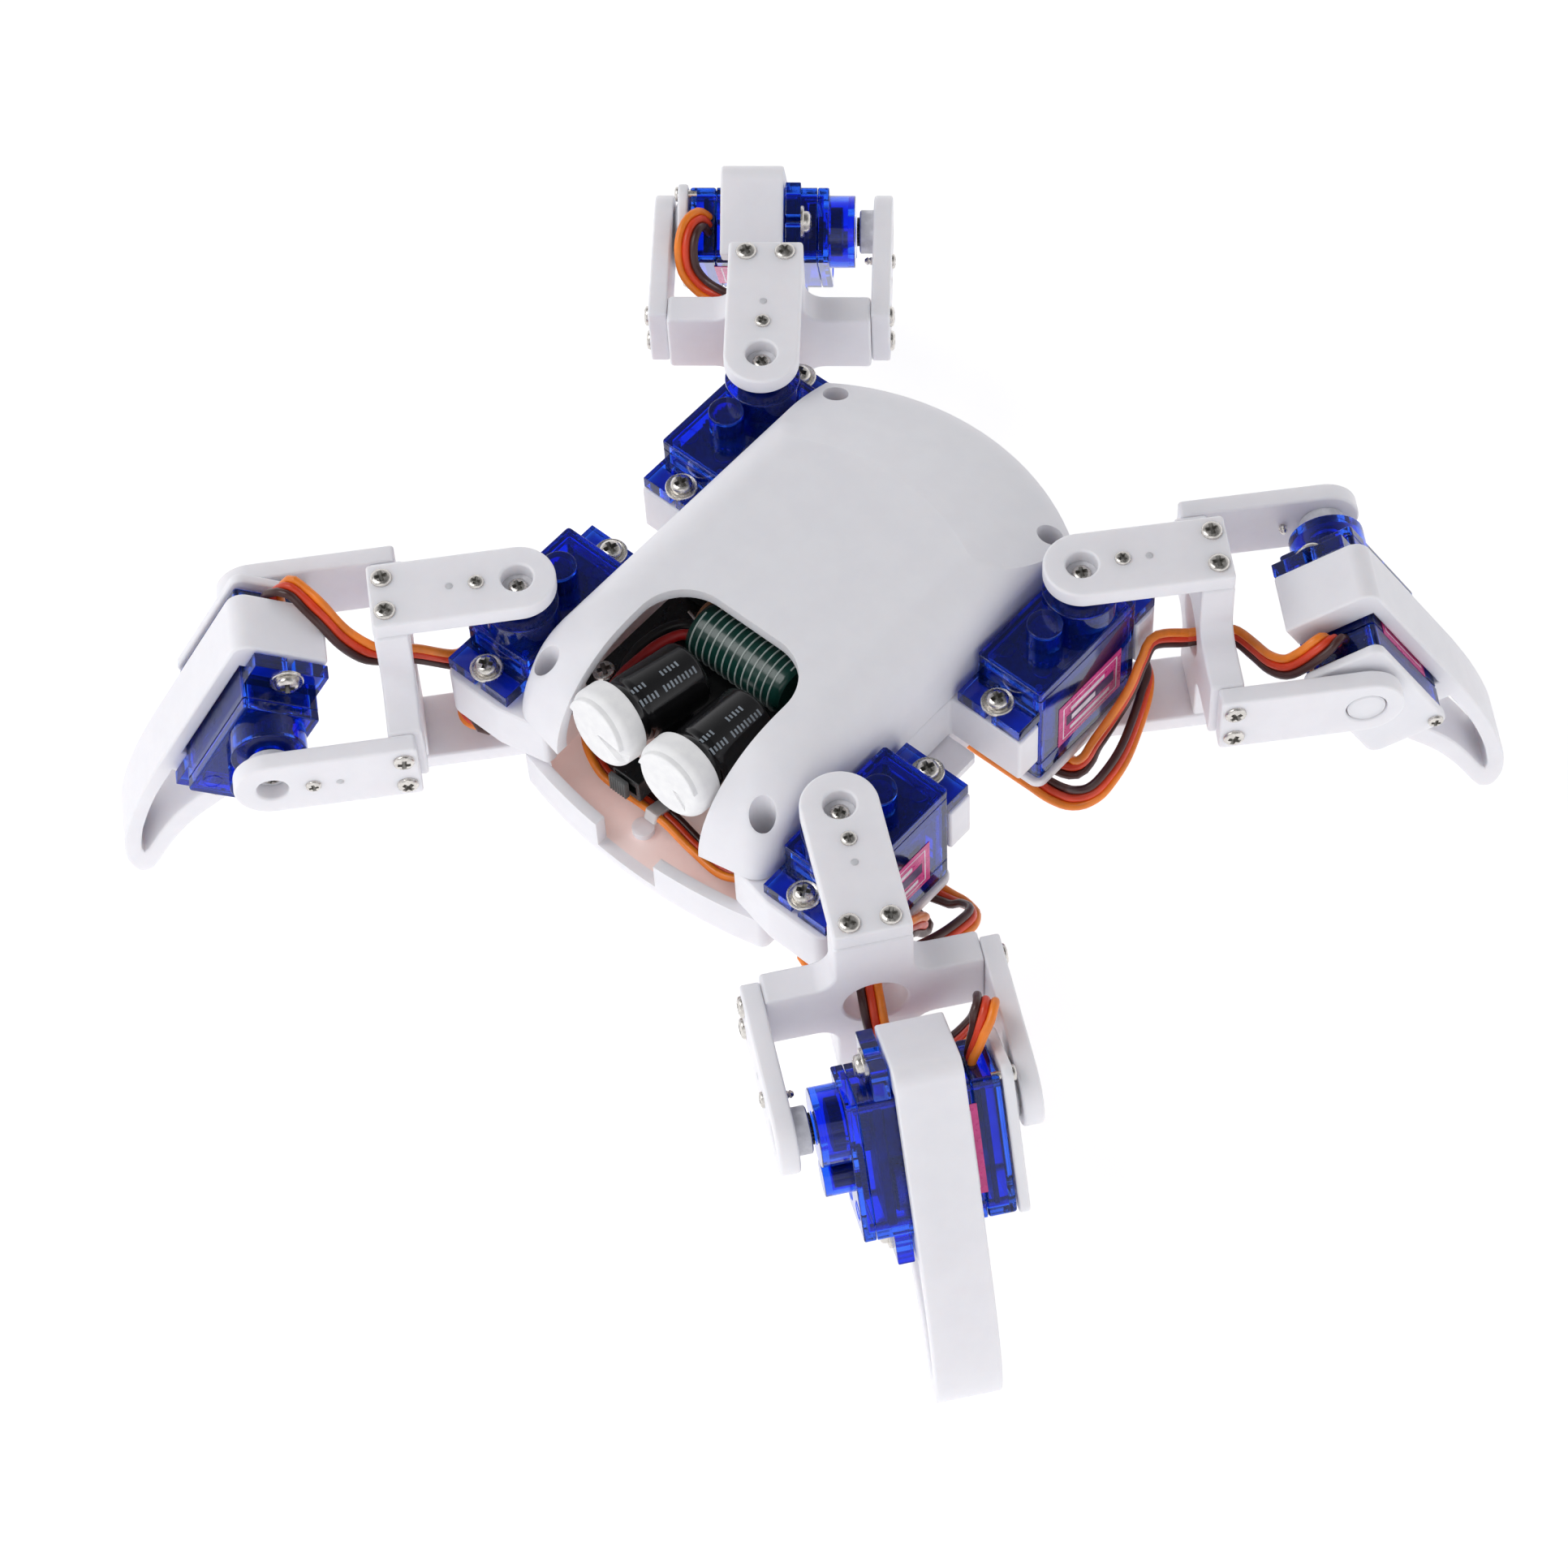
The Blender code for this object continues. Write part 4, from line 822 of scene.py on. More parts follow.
def top_shell_mesh():
    outer = loft([shell_ring(z, 0) for z in shell_levels(SHELL_TOP, 18)])
    rings = [shell_ring(z, SHELL_WALL) for z in shell_levels(SHELL_TOP - SHELL_WALL, 12)]
    rings[0] = [(x, y, SHELL_BOTTOM - 1) for x, y, _ in rings[0]]
    posts = [slab(circle(x, y, POST_RADIUS), SHELL_BOTTOM - 2, SHELL_TOP + 1, edge=0)
             for x, y in corner_posts()]
    cavity = combined(loft(rings), posts, "DIFFERENCE")
    half = MOUTH_HALF_WIDTH
    mouth = rounded([(-half, AHEAD, 0), (half, AHEAD, 0), (half, MOUTH_REAR, MOUTH_CORNER),
                     (-half, MOUTH_REAR, MOUTH_CORNER)], 16)
    cuts = [cavity, slab(mouth, SHELL_BOTTOM - 2, SHELL_TOP + 2, edge=0)]
    cuts += [slab(circle(x, y, POST_HOLE_RADIUS, 32), 0, SHELL_TOP + 1, edge=0) for x, y in corner_posts()]
    return softened(combined(outer, cuts, "DIFFERENCE"), 0.35)


def mid_frame_mesh():
    """The frame that holds the four hip servos: two walls, eight blocks and the rear curve."""
    block, recess = 37.7, 24.4
    front_gap, inner_gap = HIP_Y - CASE_NEAR + GAP, HIP_Y - CASE_FAR - GAP
    wall = HIP_X - CASE_HALF - GAP
    right = [
        (18.6, -37.4, 1.0), (27.0, -39.1, 4.0), (block, -39.1, 2.2), (block, -front_gap, 0.5),
        (wall, -front_gap, 0), (wall, -inner_gap, 0), (block, -inner_gap, 0.5), (block, -5.6, 0.5),
        (recess, -5.6, 0.5), (recess, 5.6, 0.5), (block, 5.6, 0.5), (block, inner_gap, 0.5),
        (wall, inner_gap, 0), (wall, front_gap, 0), (block, front_gap, 0.5), (block, 39.1, 2.2),
        (27.0, 39.1, 4.0), (22.0, 34.6, 0.0),
    ]
    rear_outer = [(x, y, 0) for x, y in bowed(TRAY_REAR, TRAY_REAR_RADIUS, 20, 20, 1)[::-1]]
    left = [(-x, y, r) for x, y, r in reversed(right)]
    inner_radius = TRAY_REAR_RADIUS - TRAY_WALL
    rear_inner = [(x, y, 0) for x, y in bowed(TRAY_REAR - TRAY_WALL, inner_radius, FRAME_WALL_X, 20, 1)]
    inside = [(-18.6, -35.4, 0.5), (-FRAME_WALL_X, -33.0, 3.0), *rear_inner,
              (FRAME_WALL_X, -33.0, 3.0), (18.6, -35.4, 0.5)]
    return slab(rounded([*right, *rear_outer, *left, *inside], 6), FRAME_BOTTOM, FRAME_TOP, edge=0.4)


def tray_outline(inset_by):
    half, count = TRAY_HALF_WIDTH - inset_by, 20
    front = bowed(SHELL_FRONT - inset_by, FRONT_CURVE_RADIUS, half, count, -1)
    rear = bowed(TRAY_REAR - inset_by, TRAY_REAR_RADIUS - inset_by, half, count, 1)[::-1]
    corners = [(x, y, 0) for x, y in front + rear]
    corners[0], corners[count] = (*front[0], 1.6), (*front[count], 1.6)
    return rounded([p for i, p in enumerate(corners) if i not in (1, count - 1)], 6)


def bottom_tray_mesh():
    """The tray under the body, with its front lip, its side ledges and a slot for the leads at each leg."""
    both = (WHITE, TRAY_INSIDE_PAINTED_GLOW)
    tray = painted(slab(tray_outline(0), TRAY_BOTTOM, TRAY_TOP, edge=0), both, 0)
    # The cavity's faces take the inside material, with its painted glow.
    cavity = painted(slab(tray_outline(TRAY_WALL), FLOOR_TOP, TRAY_TOP + 1, edge=0), both, 1)
    lip_cut = slab(rectangle(-30, 30, AHEAD, -36.8, 0.5, 2), LIP_TOP, TRAY_TOP + 1, edge=0)
    notch = slab(rectangle(NOTCH_X - NOTCH_HALF_WIDTH, NOTCH_X + NOTCH_HALF_WIDTH, AHEAD, -37, 0.5, 2),
                 FLOOR_TOP, TRAY_TOP + 1, edge=0)
    half_x, half_y = LEAD_SLOT_HALF
    slot = rectangle(-half_x, half_x, -half_y, half_y, 2.5, 8)
    slots = [slab([(x + LEAD_SLOT[0] * side_x, y + LEAD_SLOT[1] * side_y) for x, y in slot],
                  TRAY_BOTTOM - 1, FLOOR_TOP + 1, edge=0) for side_x in (-1, 1) for side_y in (-1, 1)]
    cuts = [painted(cut, both, 0) for cut in (lip_cut, notch, *slots)]
    tray = combined(tray, [cavity, *cuts], "DIFFERENCE")
    inner = TRAY_HALF_WIDTH - 1
    ledges = [slab(rectangle(x0, x1, -LEDGE_HALF, LEDGE_HALF, 0.8), TRAY_TOP - LEDGE_HEIGHT, TRAY_TOP, edge=0)
              for x0, x1 in ((inner, LEDGE_END), (-LEDGE_END, -inner))]
    boss = slab(circle(-2.9, -34.1, 1.75, 28), FLOOR_TOP - 0.5, FLOOR_TOP + 1.2, edge=0)
    joined = [painted(part, both, 0) for part in (*ledges, boss)]
    return softened(combined(tray, joined, "UNION"), 0.35)


# ---- parts inside the body

BOARD_TOP, BOARD_THICKNESS = -1.9, 1.6
CAPACITORS = (("right", -5.3, 6.5), ("left", 6.95, 0.0))
CAPACITOR_Y, CAPACITOR_Z = -19.5, 4.6
CAPACITOR_RADIUS, CAPACITOR_LENGTH, CAPACITOR_TILT = 5.3, 13.7, 8.5
EYE_CAP_RADIUS, EYE_CAP_LENGTH = 6.4, 4.9
COIL_X, COIL_Y, COIL_Z, COIL_RADIUS, COIL_LENGTH = -0.7, -11.0, 3.2, 4.8, 18.5
SWITCH_AT = (-6.0, -32.0, -9.6)
SWITCH_TRAVEL = 1.7


# The choke's two heavy leads, curled round the outside of one capacitor, and its bare wire ends.
COIL_WIRES = (
    ([(-8.8, -12.2, 2.6), (-9.7, -12.9, 3.0), (-11.4, -14.0, 3.0), (-12.5, -15.7, 2.8), (-13.4, -18.1, 2.5),
      (-13.8, -21.2, 2.2), (-13.9, -23.9, 2.2), (-13.7, -25.9, 2.2), (-13.5, -27.6, 2.1), (-13.2, -29.6, 1.2),
      (-12.6, -30.9, -1.0), (-12.0, -31.0, -4.5)], 0.85, WIRE_THICK_RED),
    ([(-9.3, -10.4, 1.2), (-11.6, -10.3, 0.7), (-13.6, -11.0, 0.4), (-15.0, -12.5, 0.2), (-15.9, -14.4, 0.0),
      (-16.4, -16.5, -0.2), (-16.6, -18.6, -0.4), (-16.3, -20.8, -0.6), (-15.5, -22.8, -0.7),
      (-14.6, -25.0, -0.8), (-14.1, -28.2, -1.0), (-13.6, -30.0, -2.4), (-13.2, -30.4, -5.0)],
     0.85, WIRE_BLACK),
    ([(-10.2, -7.9, 6.2), (-10.5, -9.2, 6.1), (-10.5, -10.6, 5.8), (-10.2, -11.9, 5.4)], 0.4, COPPER),
    ([(-9.6, -12.0, 5.2), (-10.8, -11.8, 5.3), (-12.2, -11.5, 5.5)], 0.22, TIN),
)
SPACER_HEIGHT = 2.1
BOARD_SCREW = (17.3, -25.2)
CAN_PRINT_ANGLE = 70


def box_part(x, y, z, width, depth, height, edge=0.15):
    """A small rounded block on the board, from the middle of its underside."""
    corner = min(width, depth) * 0.12
    outline = rectangle(x - width / 2, x + width / 2, y - depth / 2, y + depth / 2, corner, 3)
    return slab(outline, z, z + height, edge=edge, steps=2)


def board_mesh():
    """The controller board with its screws, chips, headers and solder pads."""
    bottom, top = BOARD_TOP - BOARD_THICKNESS, BOARD_TOP
    screw_x, screw_y = BOARD_SCREW
    holes = [circle(screw_x * side, screw_y, 1.2, 20) for side in (-1, 1)]
    parts = [(slab(rectangle(-20, 20, -27.6, 28, 1.5), bottom, top, holes, edge=0.12), HERE, BOARD_BLACK)]
    for side in (-1, 1):
        spacer = slab(circle(0, 0, 1.7, 28), -0.02, SPACER_HEIGHT, edge=0.1, steps=1)
        at = shift(screw_x * side, screw_y, top)
        parts += [(spacer, at, CHIP_BLACK),
                  (SCREW_ON_BOARD, at @ shift(0, 0, SPACER_HEIGHT) @ turn(30 * side), None)]
    parts += [(box_part(0, 12, top, 9, 9, 1.2), HERE, CHIP_BLACK),
              (box_part(-12, 4, top, 6, 4, 1.0), HERE, CHIP_BLACK)]
    for row in (15.0, 17.5):
        for y in range(-6, 27, 3):
            for side in (-1, 1):
                parts.append((box_part(row * side, y + 1, top, 0.64, 0.64, 5.6, 0.05), HERE, TIN))
    for side in (-1, 1):
        parts.append((box_part(16.25 * side, 11, top, 5.0, 34, 2.3), HERE, CHIP_BLACK))
    pads = [(-12.6, -20.0), (-11.2, -17.6), (-12.9, -16.4), (-9.6, -14.6), (-10.9, -13.2), (-8.4, -12.6)]
    for i, (x, y) in enumerate(pads):
        size = 0.5 + 0.12 * (i % 3)
        parts.append((box_part(x, y, top, size, size * 0.7, 0.18, 0.04), HERE, TIN))
        parts.append((box_part(x + 1.1, y - 0.5, top, 1.2, 0.7, 0.45, 0.06), HERE, CHIP_BLACK))
    for route, radius, finish in COIL_WIRES:
        parts.append((tube(smooth_path(route, 0.6)[0], radius, 16), HERE, finish))
    return gathered(parts)


def battery_mesh():
    """Two soft cells side by side in one sleeve, drawn as one swollen block with folded ends and a band of
    tape round its middle.
    """
    height, radius = 10.2, 3.4
    base = FLOOR_TOP + GAP
    rings = []
    for t in (i / 16 for i in range(17)):
        swell = math.sin(math.pi * t) ** 0.25
        half, low, high = 14.5 * (0.93 + 0.07 * swell), 5.1 - 4.9 * swell, 5.1 + 5.0 * swell
        corner = min(radius, (high - low) / 2.2)
        outline = rectangle(-half, half, low, high, corner, 6)
        rings.append([(x, -16 + 49 * t, base + z) for x, z in outline])
    tape = slab(rectangle(-14.62, 14.62, -0.02, height * 0.985, radius, 6), -2.5, 2.5, edge=0.05)
    band = axes((0, 8, base), (1, 0, 0), (0, -1, 0))
    return gathered([(loft(rings), HERE, PACK_SILVER), (tape, band, LABEL_DARK)])


def can_patch(angle, width, z0, z1, lift=0.03):
    """A patch of sleeve print on a capacitor: angles in degrees, heights along its axis."""
    steps = 8
    outer = arc(0, 0, CAPACITOR_RADIUS + lift, angle - width / 2, angle + width / 2, steps)
    inner = arc(0, 0, CAPACITOR_RADIUS - 0.1, angle + width / 2, angle - width / 2, steps)
    return slab(outer + inner, z0, z1, edge=0)


def capacitor_mesh():
    """A capacitor from its rear end: a glossy shrunk sleeve, a crimp groove, and a plain dashed stripe."""
    r, length = CAPACITOR_RADIUS, CAPACITOR_LENGTH
    rear = [(1.9, 0.35), (1.5, 0.3), (1.1, 0.02), (0.6, 0.0), (0.25, 0.12), (0.05, 0.4), (0, 0.8)]
    groove = [(0, 3.0), (0.12, 2.6), (0.32, 2.2), (0.32, 1.9), (0.1, 1.5), (0, 1.1), (0, 0.3), (0.4, 0)]
    profile = [(r - less, z) for less, z in rear] + [(r - less, length - z) for less, z in groove]
    parts = [(turned(profile, 64), HERE, SLEEVE_BLACK),
             (turned([(r - 1.7, 0.2), (r - 1.75, 0.4)], 48), HERE, CAN_METAL)]
    rows = ((-12, 1.4, 9, 12), (-12, 8.8, 5, 12), (12, 3.2, 5, 10), (12, 9.6, 4, 10))
    for offset, start, dashes, tall in rows:
        for i in range(dashes):
            z0 = start + i * 0.72
            dash = can_patch(CAN_PRINT_ANGLE + offset, tall * (1 - 0.25 * (i % 2)), z0, z0 + 0.34)
            parts.append((dash, HERE, MARK_GREY))
    return gathered(parts)


def eye_cap_mesh(hooked):
    """A printed cap with a rounded front edge, a raised lid over half of its face, and a notch."""
    r, length, bend = EYE_CAP_RADIUS, EYE_CAP_LENGTH, 1.5
    face = length - 0.7
    rim = [(r - bend + bend * math.cos(a), face - bend + bend * math.sin(a))
           for a in (math.radians(90 * i / 8) for i in range(9))]
    body = turned([(r - 0.3, 0), (r - 0.05, 0.12), (r, 0.4), *rim], 72)
    if hooked:
        arc_end, hook, depth = 8, [(1.0, 0.5), (0.6, -0.2), (-0.1, -0.25), (-0.6, 0.35)], 0.9
        wedge = [(-0.2, -0.6), (6.6, -2.9), (6.6, -0.4), (1.4, 0.1)]
    else:
        arc_end, hook, depth = 20, [(0.5, 1.4), (-1.6, 0.9)], 0.35
        wedge = [(0.6, -0.8), (3.4, -3.6), (3.0, -0.6)]
    lid = slab(arc(0, 0, r - 0.75, 172, arc_end, 40) + hook, face - 1.2, length, edge=0.3)
    cap = combined(body, [lid], "UNION")
    cap = combined(cap, [slab(wedge, face - depth, length + 1, edge=0)], "DIFFERENCE")
    return softened(cap, 0.22, 2, 28)


def coil_mesh():
    """A wound choke in a clear green sleeve, with its pale turns showing as rings."""
    r, length, pitch = COIL_RADIUS, COIL_LENGTH, 1.28
    core = turned([(r - 1.3, 0), (r - 0.75, 0.1), (r - 0.5, 0.5), (r - 0.35, 1.0), (r - 0.35, length - 1.0),
                   (r - 0.5, length - 0.5), (r - 0.8, length - 0.1), (r - 1.4, length)], 64)
    turns = int((length - 1.6) / pitch)
    helix = [Vector((x, y, 1.0 + pitch * i / 36))
             for i, (x, y) in enumerate(arc(0, 0, r - 0.32, 0, 360 * turns, 36 * turns))]
    return gathered([(core, HERE, COIL_GREEN), (tube(helix, 0.14, 8), HERE, COIL_RING)])


def switch_parts():
    """The slide switch: a black housing with a pressed edge, and its slider's ribbed grip."""
    housing = slab(rectangle(-2.6, 2.6, -1.7, 2.2, 0.3), -2.3, 2.3, edge=0.2)
    channel = slab(rectangle(-2.0, 2.0, -3, -0.9, 0.1, 2), -1.1, 1.1, edge=0)
    housing = combined(housing, [channel], "DIFFERENCE")
    half, front, back, ribs = 1.7, -2.9, -2.05, 7
    grip = [(half, back), (-half, back)]
    for i in range(ribs):
        x, width = -half + 2 * half * i / ribs, 2 * half / ribs
        grip += [(x, front + 0.22), (x + width * 0.3, front), (x + width * 0.7, front),
                 (x + width, front + 0.22)]
    neck = slab(rectangle(-0.85, 0.85, -2.1, -1.2, 0.1, 2), -0.8, 0.8, edge=0)
    slider = combined(slab(wound(grip, False), -1.9, 1.9, edge=0.12, steps=2), [neck], "UNION")
    return housing, slider


# ---- build: body

SCREW_ON_BOARD = screw_mesh(1.75, 0.9)

piece("shell_top", top_shell_mesh(), BODY, "chassis", ["top_shell"], WHITE)
piece("frame_middle", mid_frame_mesh(), BODY, "chassis", ["mid_frame"], WHITE)
piece("tray_bottom", bottom_tray_mesh(), BODY, "chassis", ["bottom_tray"], WHITE)
piece("board", board_mesh(), BODY, "chassis", ["controller_board"])
piece("battery", battery_mesh(), BODY, "chassis", ["battery_pack"])
for name, x, splay in CAPACITORS:
    tilt = turn(-CAPACITOR_TILT, "X") @ turn(90, "X")
    can = BODY @ shift(x, CAPACITOR_Y, CAPACITOR_Z) @ turn(-splay) @ tilt
    piece(f"can_{name}", capacitor_mesh(), can, "chassis", [f"capacitor_{name}"])
    cap = can @ shift(0, 0, CAPACITOR_LENGTH)
    piece(f"eye_{name}", eye_cap_mesh(name == "right"), cap, "chassis", [f"eye_cap_{name}"], CAP_WHITE)
coil = BODY @ axes((COIL_X - COIL_LENGTH / 2, COIL_Y, COIL_Z), (0, 0, 1), (1, 0, 0))
piece("choke", coil_mesh(), coil, "chassis", ["choke_coil"])
switch_housing, switch_slider = switch_parts()
piece("switch_housing", switch_housing, BODY @ shift(*SWITCH_AT), "chassis", ["power_switch_body"],
      BOARD_BLACK)
slider_at = shift(SWITCH_AT[0] - SWITCH_TRAVEL / 2, SWITCH_AT[1], SWITCH_AT[2])
piece("switch_grip", switch_slider, BODY @ slider_at, "switch_slider", ["power_switch_slider"],
      SWITCH_GREY)


# ---- build: legs

SERVO = servo_mesh()
HOLDER = holder_mesh()
CROSS = cross_mesh()
SHIN = shin_mesh()

for number, corner in enumerate(CORNERS):
    side_x, side_y = quarter(corner)
    horn = horn_side(corner)
    leg = leg_frame(corner)
    upper, lower = f"upper_leg_{corner}", f"lower_leg_{corner}"
    hip_servo = BODY @ axes((HIP_X * side_x, HIP_Y * side_y, 0), (0, -side_y, 0), (0, 0, 1))
    piece(f"servo_hip_{corner}", SERVO, hip_servo, "chassis", [f"hip_servo_{corner}"])
    piece(f"holder_hip_{corner}", HOLDER, hip_servo, "chassis", [f"hip_holder_{corner}"])
    angles = [20 + 37 * number, 65 + 29 * number, 10 + 41 * number, 50 + 23 * number]
    piece(f"plate_hip_horn_{corner}", horn_plate_mesh(angles), leg @ shift(0, 0, HORN_STACK), upper,
          [f"hip_horn_plate_{corner}"])
    below = leg @ axes((0, 0, -PIVOT_STACK), (1, 0, 0), (0, 0, -1))
    piece(f"plate_hip_pivot_{corner}", pivot_plate_mesh(angles[:2]), below, upper,
          [f"hip_pivot_plate_{corner}"])
    piece(f"cross_{corner}", CROSS, leg @ axes((0, 0, 0), (0, 1, 0), (1, 0, 0)), upper,
          [f"cross_block_{corner}"], WHITE)
    for name, make, side in (("horn", horn_plate_mesh, horn), ("pivot", pivot_plate_mesh, -horn)):
        place = leg @ axes((KNEE_REACH, SIDE_FACE * side, KNEE_Z), (-1, 0, 0), (0, side, 0))
        piece(f"plate_knee_{name}_{corner}", make([a + 33 for a in angles]), place, upper,
              [f"knee_{name}_plate_{corner}"])

    knee = leg @ axes((KNEE_REACH, 0, KNEE_Z), SHIN_DOWN, (0, -1, 0))
    in_knee = knee @ axes((0, 0, -KNEE_SERVO_FLANGE * horn), (1, 0, 0), (0, 0, -horn))
    piece(f"servo_knee_{corner}", SERVO, in_knee, lower, [f"knee_servo_{corner}"])
    piece(f"holder_knee_{corner}", HOLDER, in_knee, lower, [f"knee_holder_{corner}"])
    piece(f"claw_{corner}", SHIN, knee @ shift(0, 0, 3.1 * horn), lower, [f"shin_{corner}"], WHITE)


# ---- build: leads

# From a knee servo to the cross block's hole, in the leg's frame with Y towards the pivot side.
KNEE_LEAD_ARCHES = {
    "front_right": [
        (36.9, 10.3, 4.0), (35.4, 9.9, 6.3), (33.8, 9.0, 7.2), (32.2, 7.8, 6.0), (29.9, 5.2, 4.6),
        (27.4, 3.4, 0.9), (24.8, 2.4, -1.8), (22.7, 2.0, -3.0), (19.5, 1.8, -3.4), (16.6, 1.6, -3.8),
    ],
    "front_left": [
        (35.7, 11.7, 3.8), (33.9, 13.0, 6.4), (31.9, 13.9, 6.2), (30.1, 14.0, 3.2), (28.9, 13.8, -1.5),
        (28.2, 12.6, -6.8), (27.8, 9.6, -11.6), (27.7, 5.8, -13.4), (27.3, 2.0, -12.2), (26.4, -0.2, -9.2),
        (24.6, -0.6, -6.2), (22.1, -0.6, -4.6), (19.2, -0.4, -4.4), (16.6, 0.0, -4.8),
    ],
    "rear_left": [
        (36.3, 10.7, 2.6), (34.0, 11.9, 2.4), (31.6, 12.1, 0.0), (29.4, 11.4, -2.4), (27.4, 9.0, -4.2),
        (25.7, 5.0, -5.9), (24.0, 1.8, -6.9), (22.1, 0.6, -7.4), (19.2, 0.1, -7.8), (16.6, 0.0, -8.0),
    ],
    "rear_right": [
        (36.4, 11.3, 2.9), (34.2, 12.7, 3.7), (31.4, 13.5, 2.4), (28.7, 13.1, -0.3), (26.6, 11.0, -2.0),
        (25.0, 8.4, -2.3), (23.7, 5.0, -3.2), (22.1, 2.4, -4.2), (19.2, 1.0, -5.0), (16.6, 0.3, -5.4),
    ],
}
# The side of each arch that the orange wire is on, from its second point to its last.
KNEE_LEAD_SIDES = {
    "front_right": [
        (-0.6, 0.8, -0.2), (-0.3, 1, 0.2), (-0.3, 1, 0.3), (-0.3, 0.9, 0.5), (-0.2, 0.8, 0.6),
        (-0.1, 0.6, 0.8), (0, 0.4, 1), (0, 0.2, 1), (0, 0.1, 1),
    ],
    "front_left": [
        (0.45, 0.85, 0.1), (0.5, 0.8, 0.2), (0.8, 0.5, 0.3), (1, 0.2, 0), (1, 0, 0), (1, 0, 0), (1, 0, 0),
        (1, 0.2, 0.2), (0.7, 0.7, 0.3), (0.2, 1, 0.2), (0, 1, 0), (0, 1, 0), (0, 1, 0),
    ],
    "rear_left": [
        (-0.4, -0.7, 0.3), (-0.2, -0.7, 0.5), (0, -0.7, 0.7), (0, -0.6, 0.8), (0, -0.5, 0.9), (0, -0.3, 1),
        (0, 0, 1), (0, 0, 1), (0, 0, 1),
    ],
    "rear_right": [
        (0.5, 0.8, 0.2), (0.1, 1, -0.1), (-0.1, 0.9, -0.4), (-0.2, 0.6, -0.7), (-0.1, 0.4, -0.9),
        (0, 0.2, -1), (0, 0, -1), (0, 0, -1), (0, 0, -1),
    ],
}
# From the cross block into the body, for the quarter where X and Y are positive.
KNEE_LEAD_RUN = [
    (39.9, 35.2, -6.0), (40.0, 32.2, -8.0), (40.6, 28.6, -11.2), (40.7, 24.4, -14.0), (40.2, 21.0, -17.4),
    (39.6, 18.9, -20.6), (37.4, 17.6, -22.4), (31.5, 17.2, -22.8), (26.0, 17.2, -22.9), (22.4, 17.2, -22.8),
    (20.4, 17.2, -21.9), (19.3, 17.2, -20.0), (18.7, 17.3, -15.5), (17.9, 17.4, -9.0), (17.6, 17.4, -3.9),
]
HIP_LEAD_RUN = [
    (31.4, 34.0, -14.5), (32.2, 36.3, -14.8), (35.6, 37.3, -15.6), (38.8, 35.6, -16.2), (41.0, 31.6, -16.4),
    (43.2, 26.6, -16.4), (44.9, 21.8, -16.6), (45.6, 17.6, -17.0), (45.2, 14.4, -18.2), (43.0, 12.6, -19.9),
    (39.6, 12.4, -21.7), (35.0, 12.6, -22.6), (29.0, 12.7, -22.9), (23.4, 12.7, -22.9), (20.8, 12.7, -22.2),
    (19.3, 12.7, -20.2), (18.8, 12.8, -16.0), (18.4, 12.8, -11.0), (17.6, 12.8, -3.9),
]
FRONT_HARNESS_RUN = [
    (-16.5, -21.5, -5.6), (-18.8, -24.5, -9.5), (-18.2, -28.5, -13.2), (-13.2, -31.2, -14.6),
    (-8.5, -31.6, -14.8), (-3.7, -31.5, -14.8), (1.4, -31.9, -14.8), (7.6, -33.0, -14.6),
    (14.2, -33.4, -14.2), (18.6, -30.0, -12.6), (18.2, -24.5, -8.8), (16.5, -21.5, -5.6),
]
UP = Vector((0, 0, 1))
KNEE_LEAD_EXIT = 10.3


def knee_lead(corner):
    """The knee servo's lead in two pieces, which meet in the cross block's hole."""
    side_x, side_y = quarter(corner)
    horn, leg = horn_side(corner), leg_frame(corner)
    to_body = BODY.inverted() @ leg
    level = Vector((KNEE_REACH, KNEE_LEAD_EXIT, KNEE_Z))
    start, exit_point = level + SHIN_DOWN * (CASE_NEAR + 1.4), level + SHIN_DOWN * (CASE_NEAR - GAP)
    wide = SHIN_OUT * horn
    arch_sides = [wide, wide, wide + Vector(KNEE_LEAD_SIDES[corner][0]) / 2, *KNEE_LEAD_SIDES[corner]]
    arch = [Vector((x, -horn * y, z)) for x, y, z in [start, exit_point, *KNEE_LEAD_ARCHES[corner]]]
    sides = [Vector((x, -horn * y, z)) for x, y, z in arch_sides]
    first = piece(f"lead_knee_{corner}", ribbon_mesh(arch, sides), leg, None, [f"knee_lead_{corner}"])
    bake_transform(first)
    inner = [to_body @ (p * MM) / MM for p in arch[-2:]]
    run = inner + [Vector((x * side_x, y * side_y, z)) for x, y, z in KNEE_LEAD_RUN]
    in_hole = to_body.to_3x3() @ sides[-1]
    upright, across = UP * (-1 if in_hole.z < -0.5 else 1), Vector((0, side_y, 0))
    run_sides = [in_hole, in_hole, in_hole + upright] + [upright] * 5 + [across + upright]
    run_sides += [across] * (len(run) - len(run_sides))
    second = piece(f"lead_hip_to_body_{corner}", ribbon_mesh(run, run_sides), BODY, None,
                   [f"knee_lead_{corner}"])
    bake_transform(second)


def hip_lead(corner):
    """The hip servo's lead, looped round the outside of the servo and into the tray's slot."""
    side_x, side_y = quarter(corner)
    route = [(x * side_x, y * side_y, z) for x, y, z in HIP_LEAD_RUN]
    sides = [(side_y, 0, 0)] * 2 + [(side_y * 0.4, 0, -1), (0, side_y * 0.3, -1)]
    sides += [(side_x * 0.5, 0, -1)] * 5 + [(side_x * 0.2, -side_y * 0.6, -1), (0, -side_y, -0.4)]
    sides += [(0, -side_y, 0)] * 8
    piece(f"lead_hip_{corner}", ribbon_mesh(route, sides), BODY, "chassis", [f"hip_lead_{corner}"])


for corner in CORNERS:
    knee_lead(corner)
    if corner != "rear_right":
        hip_lead(corner)

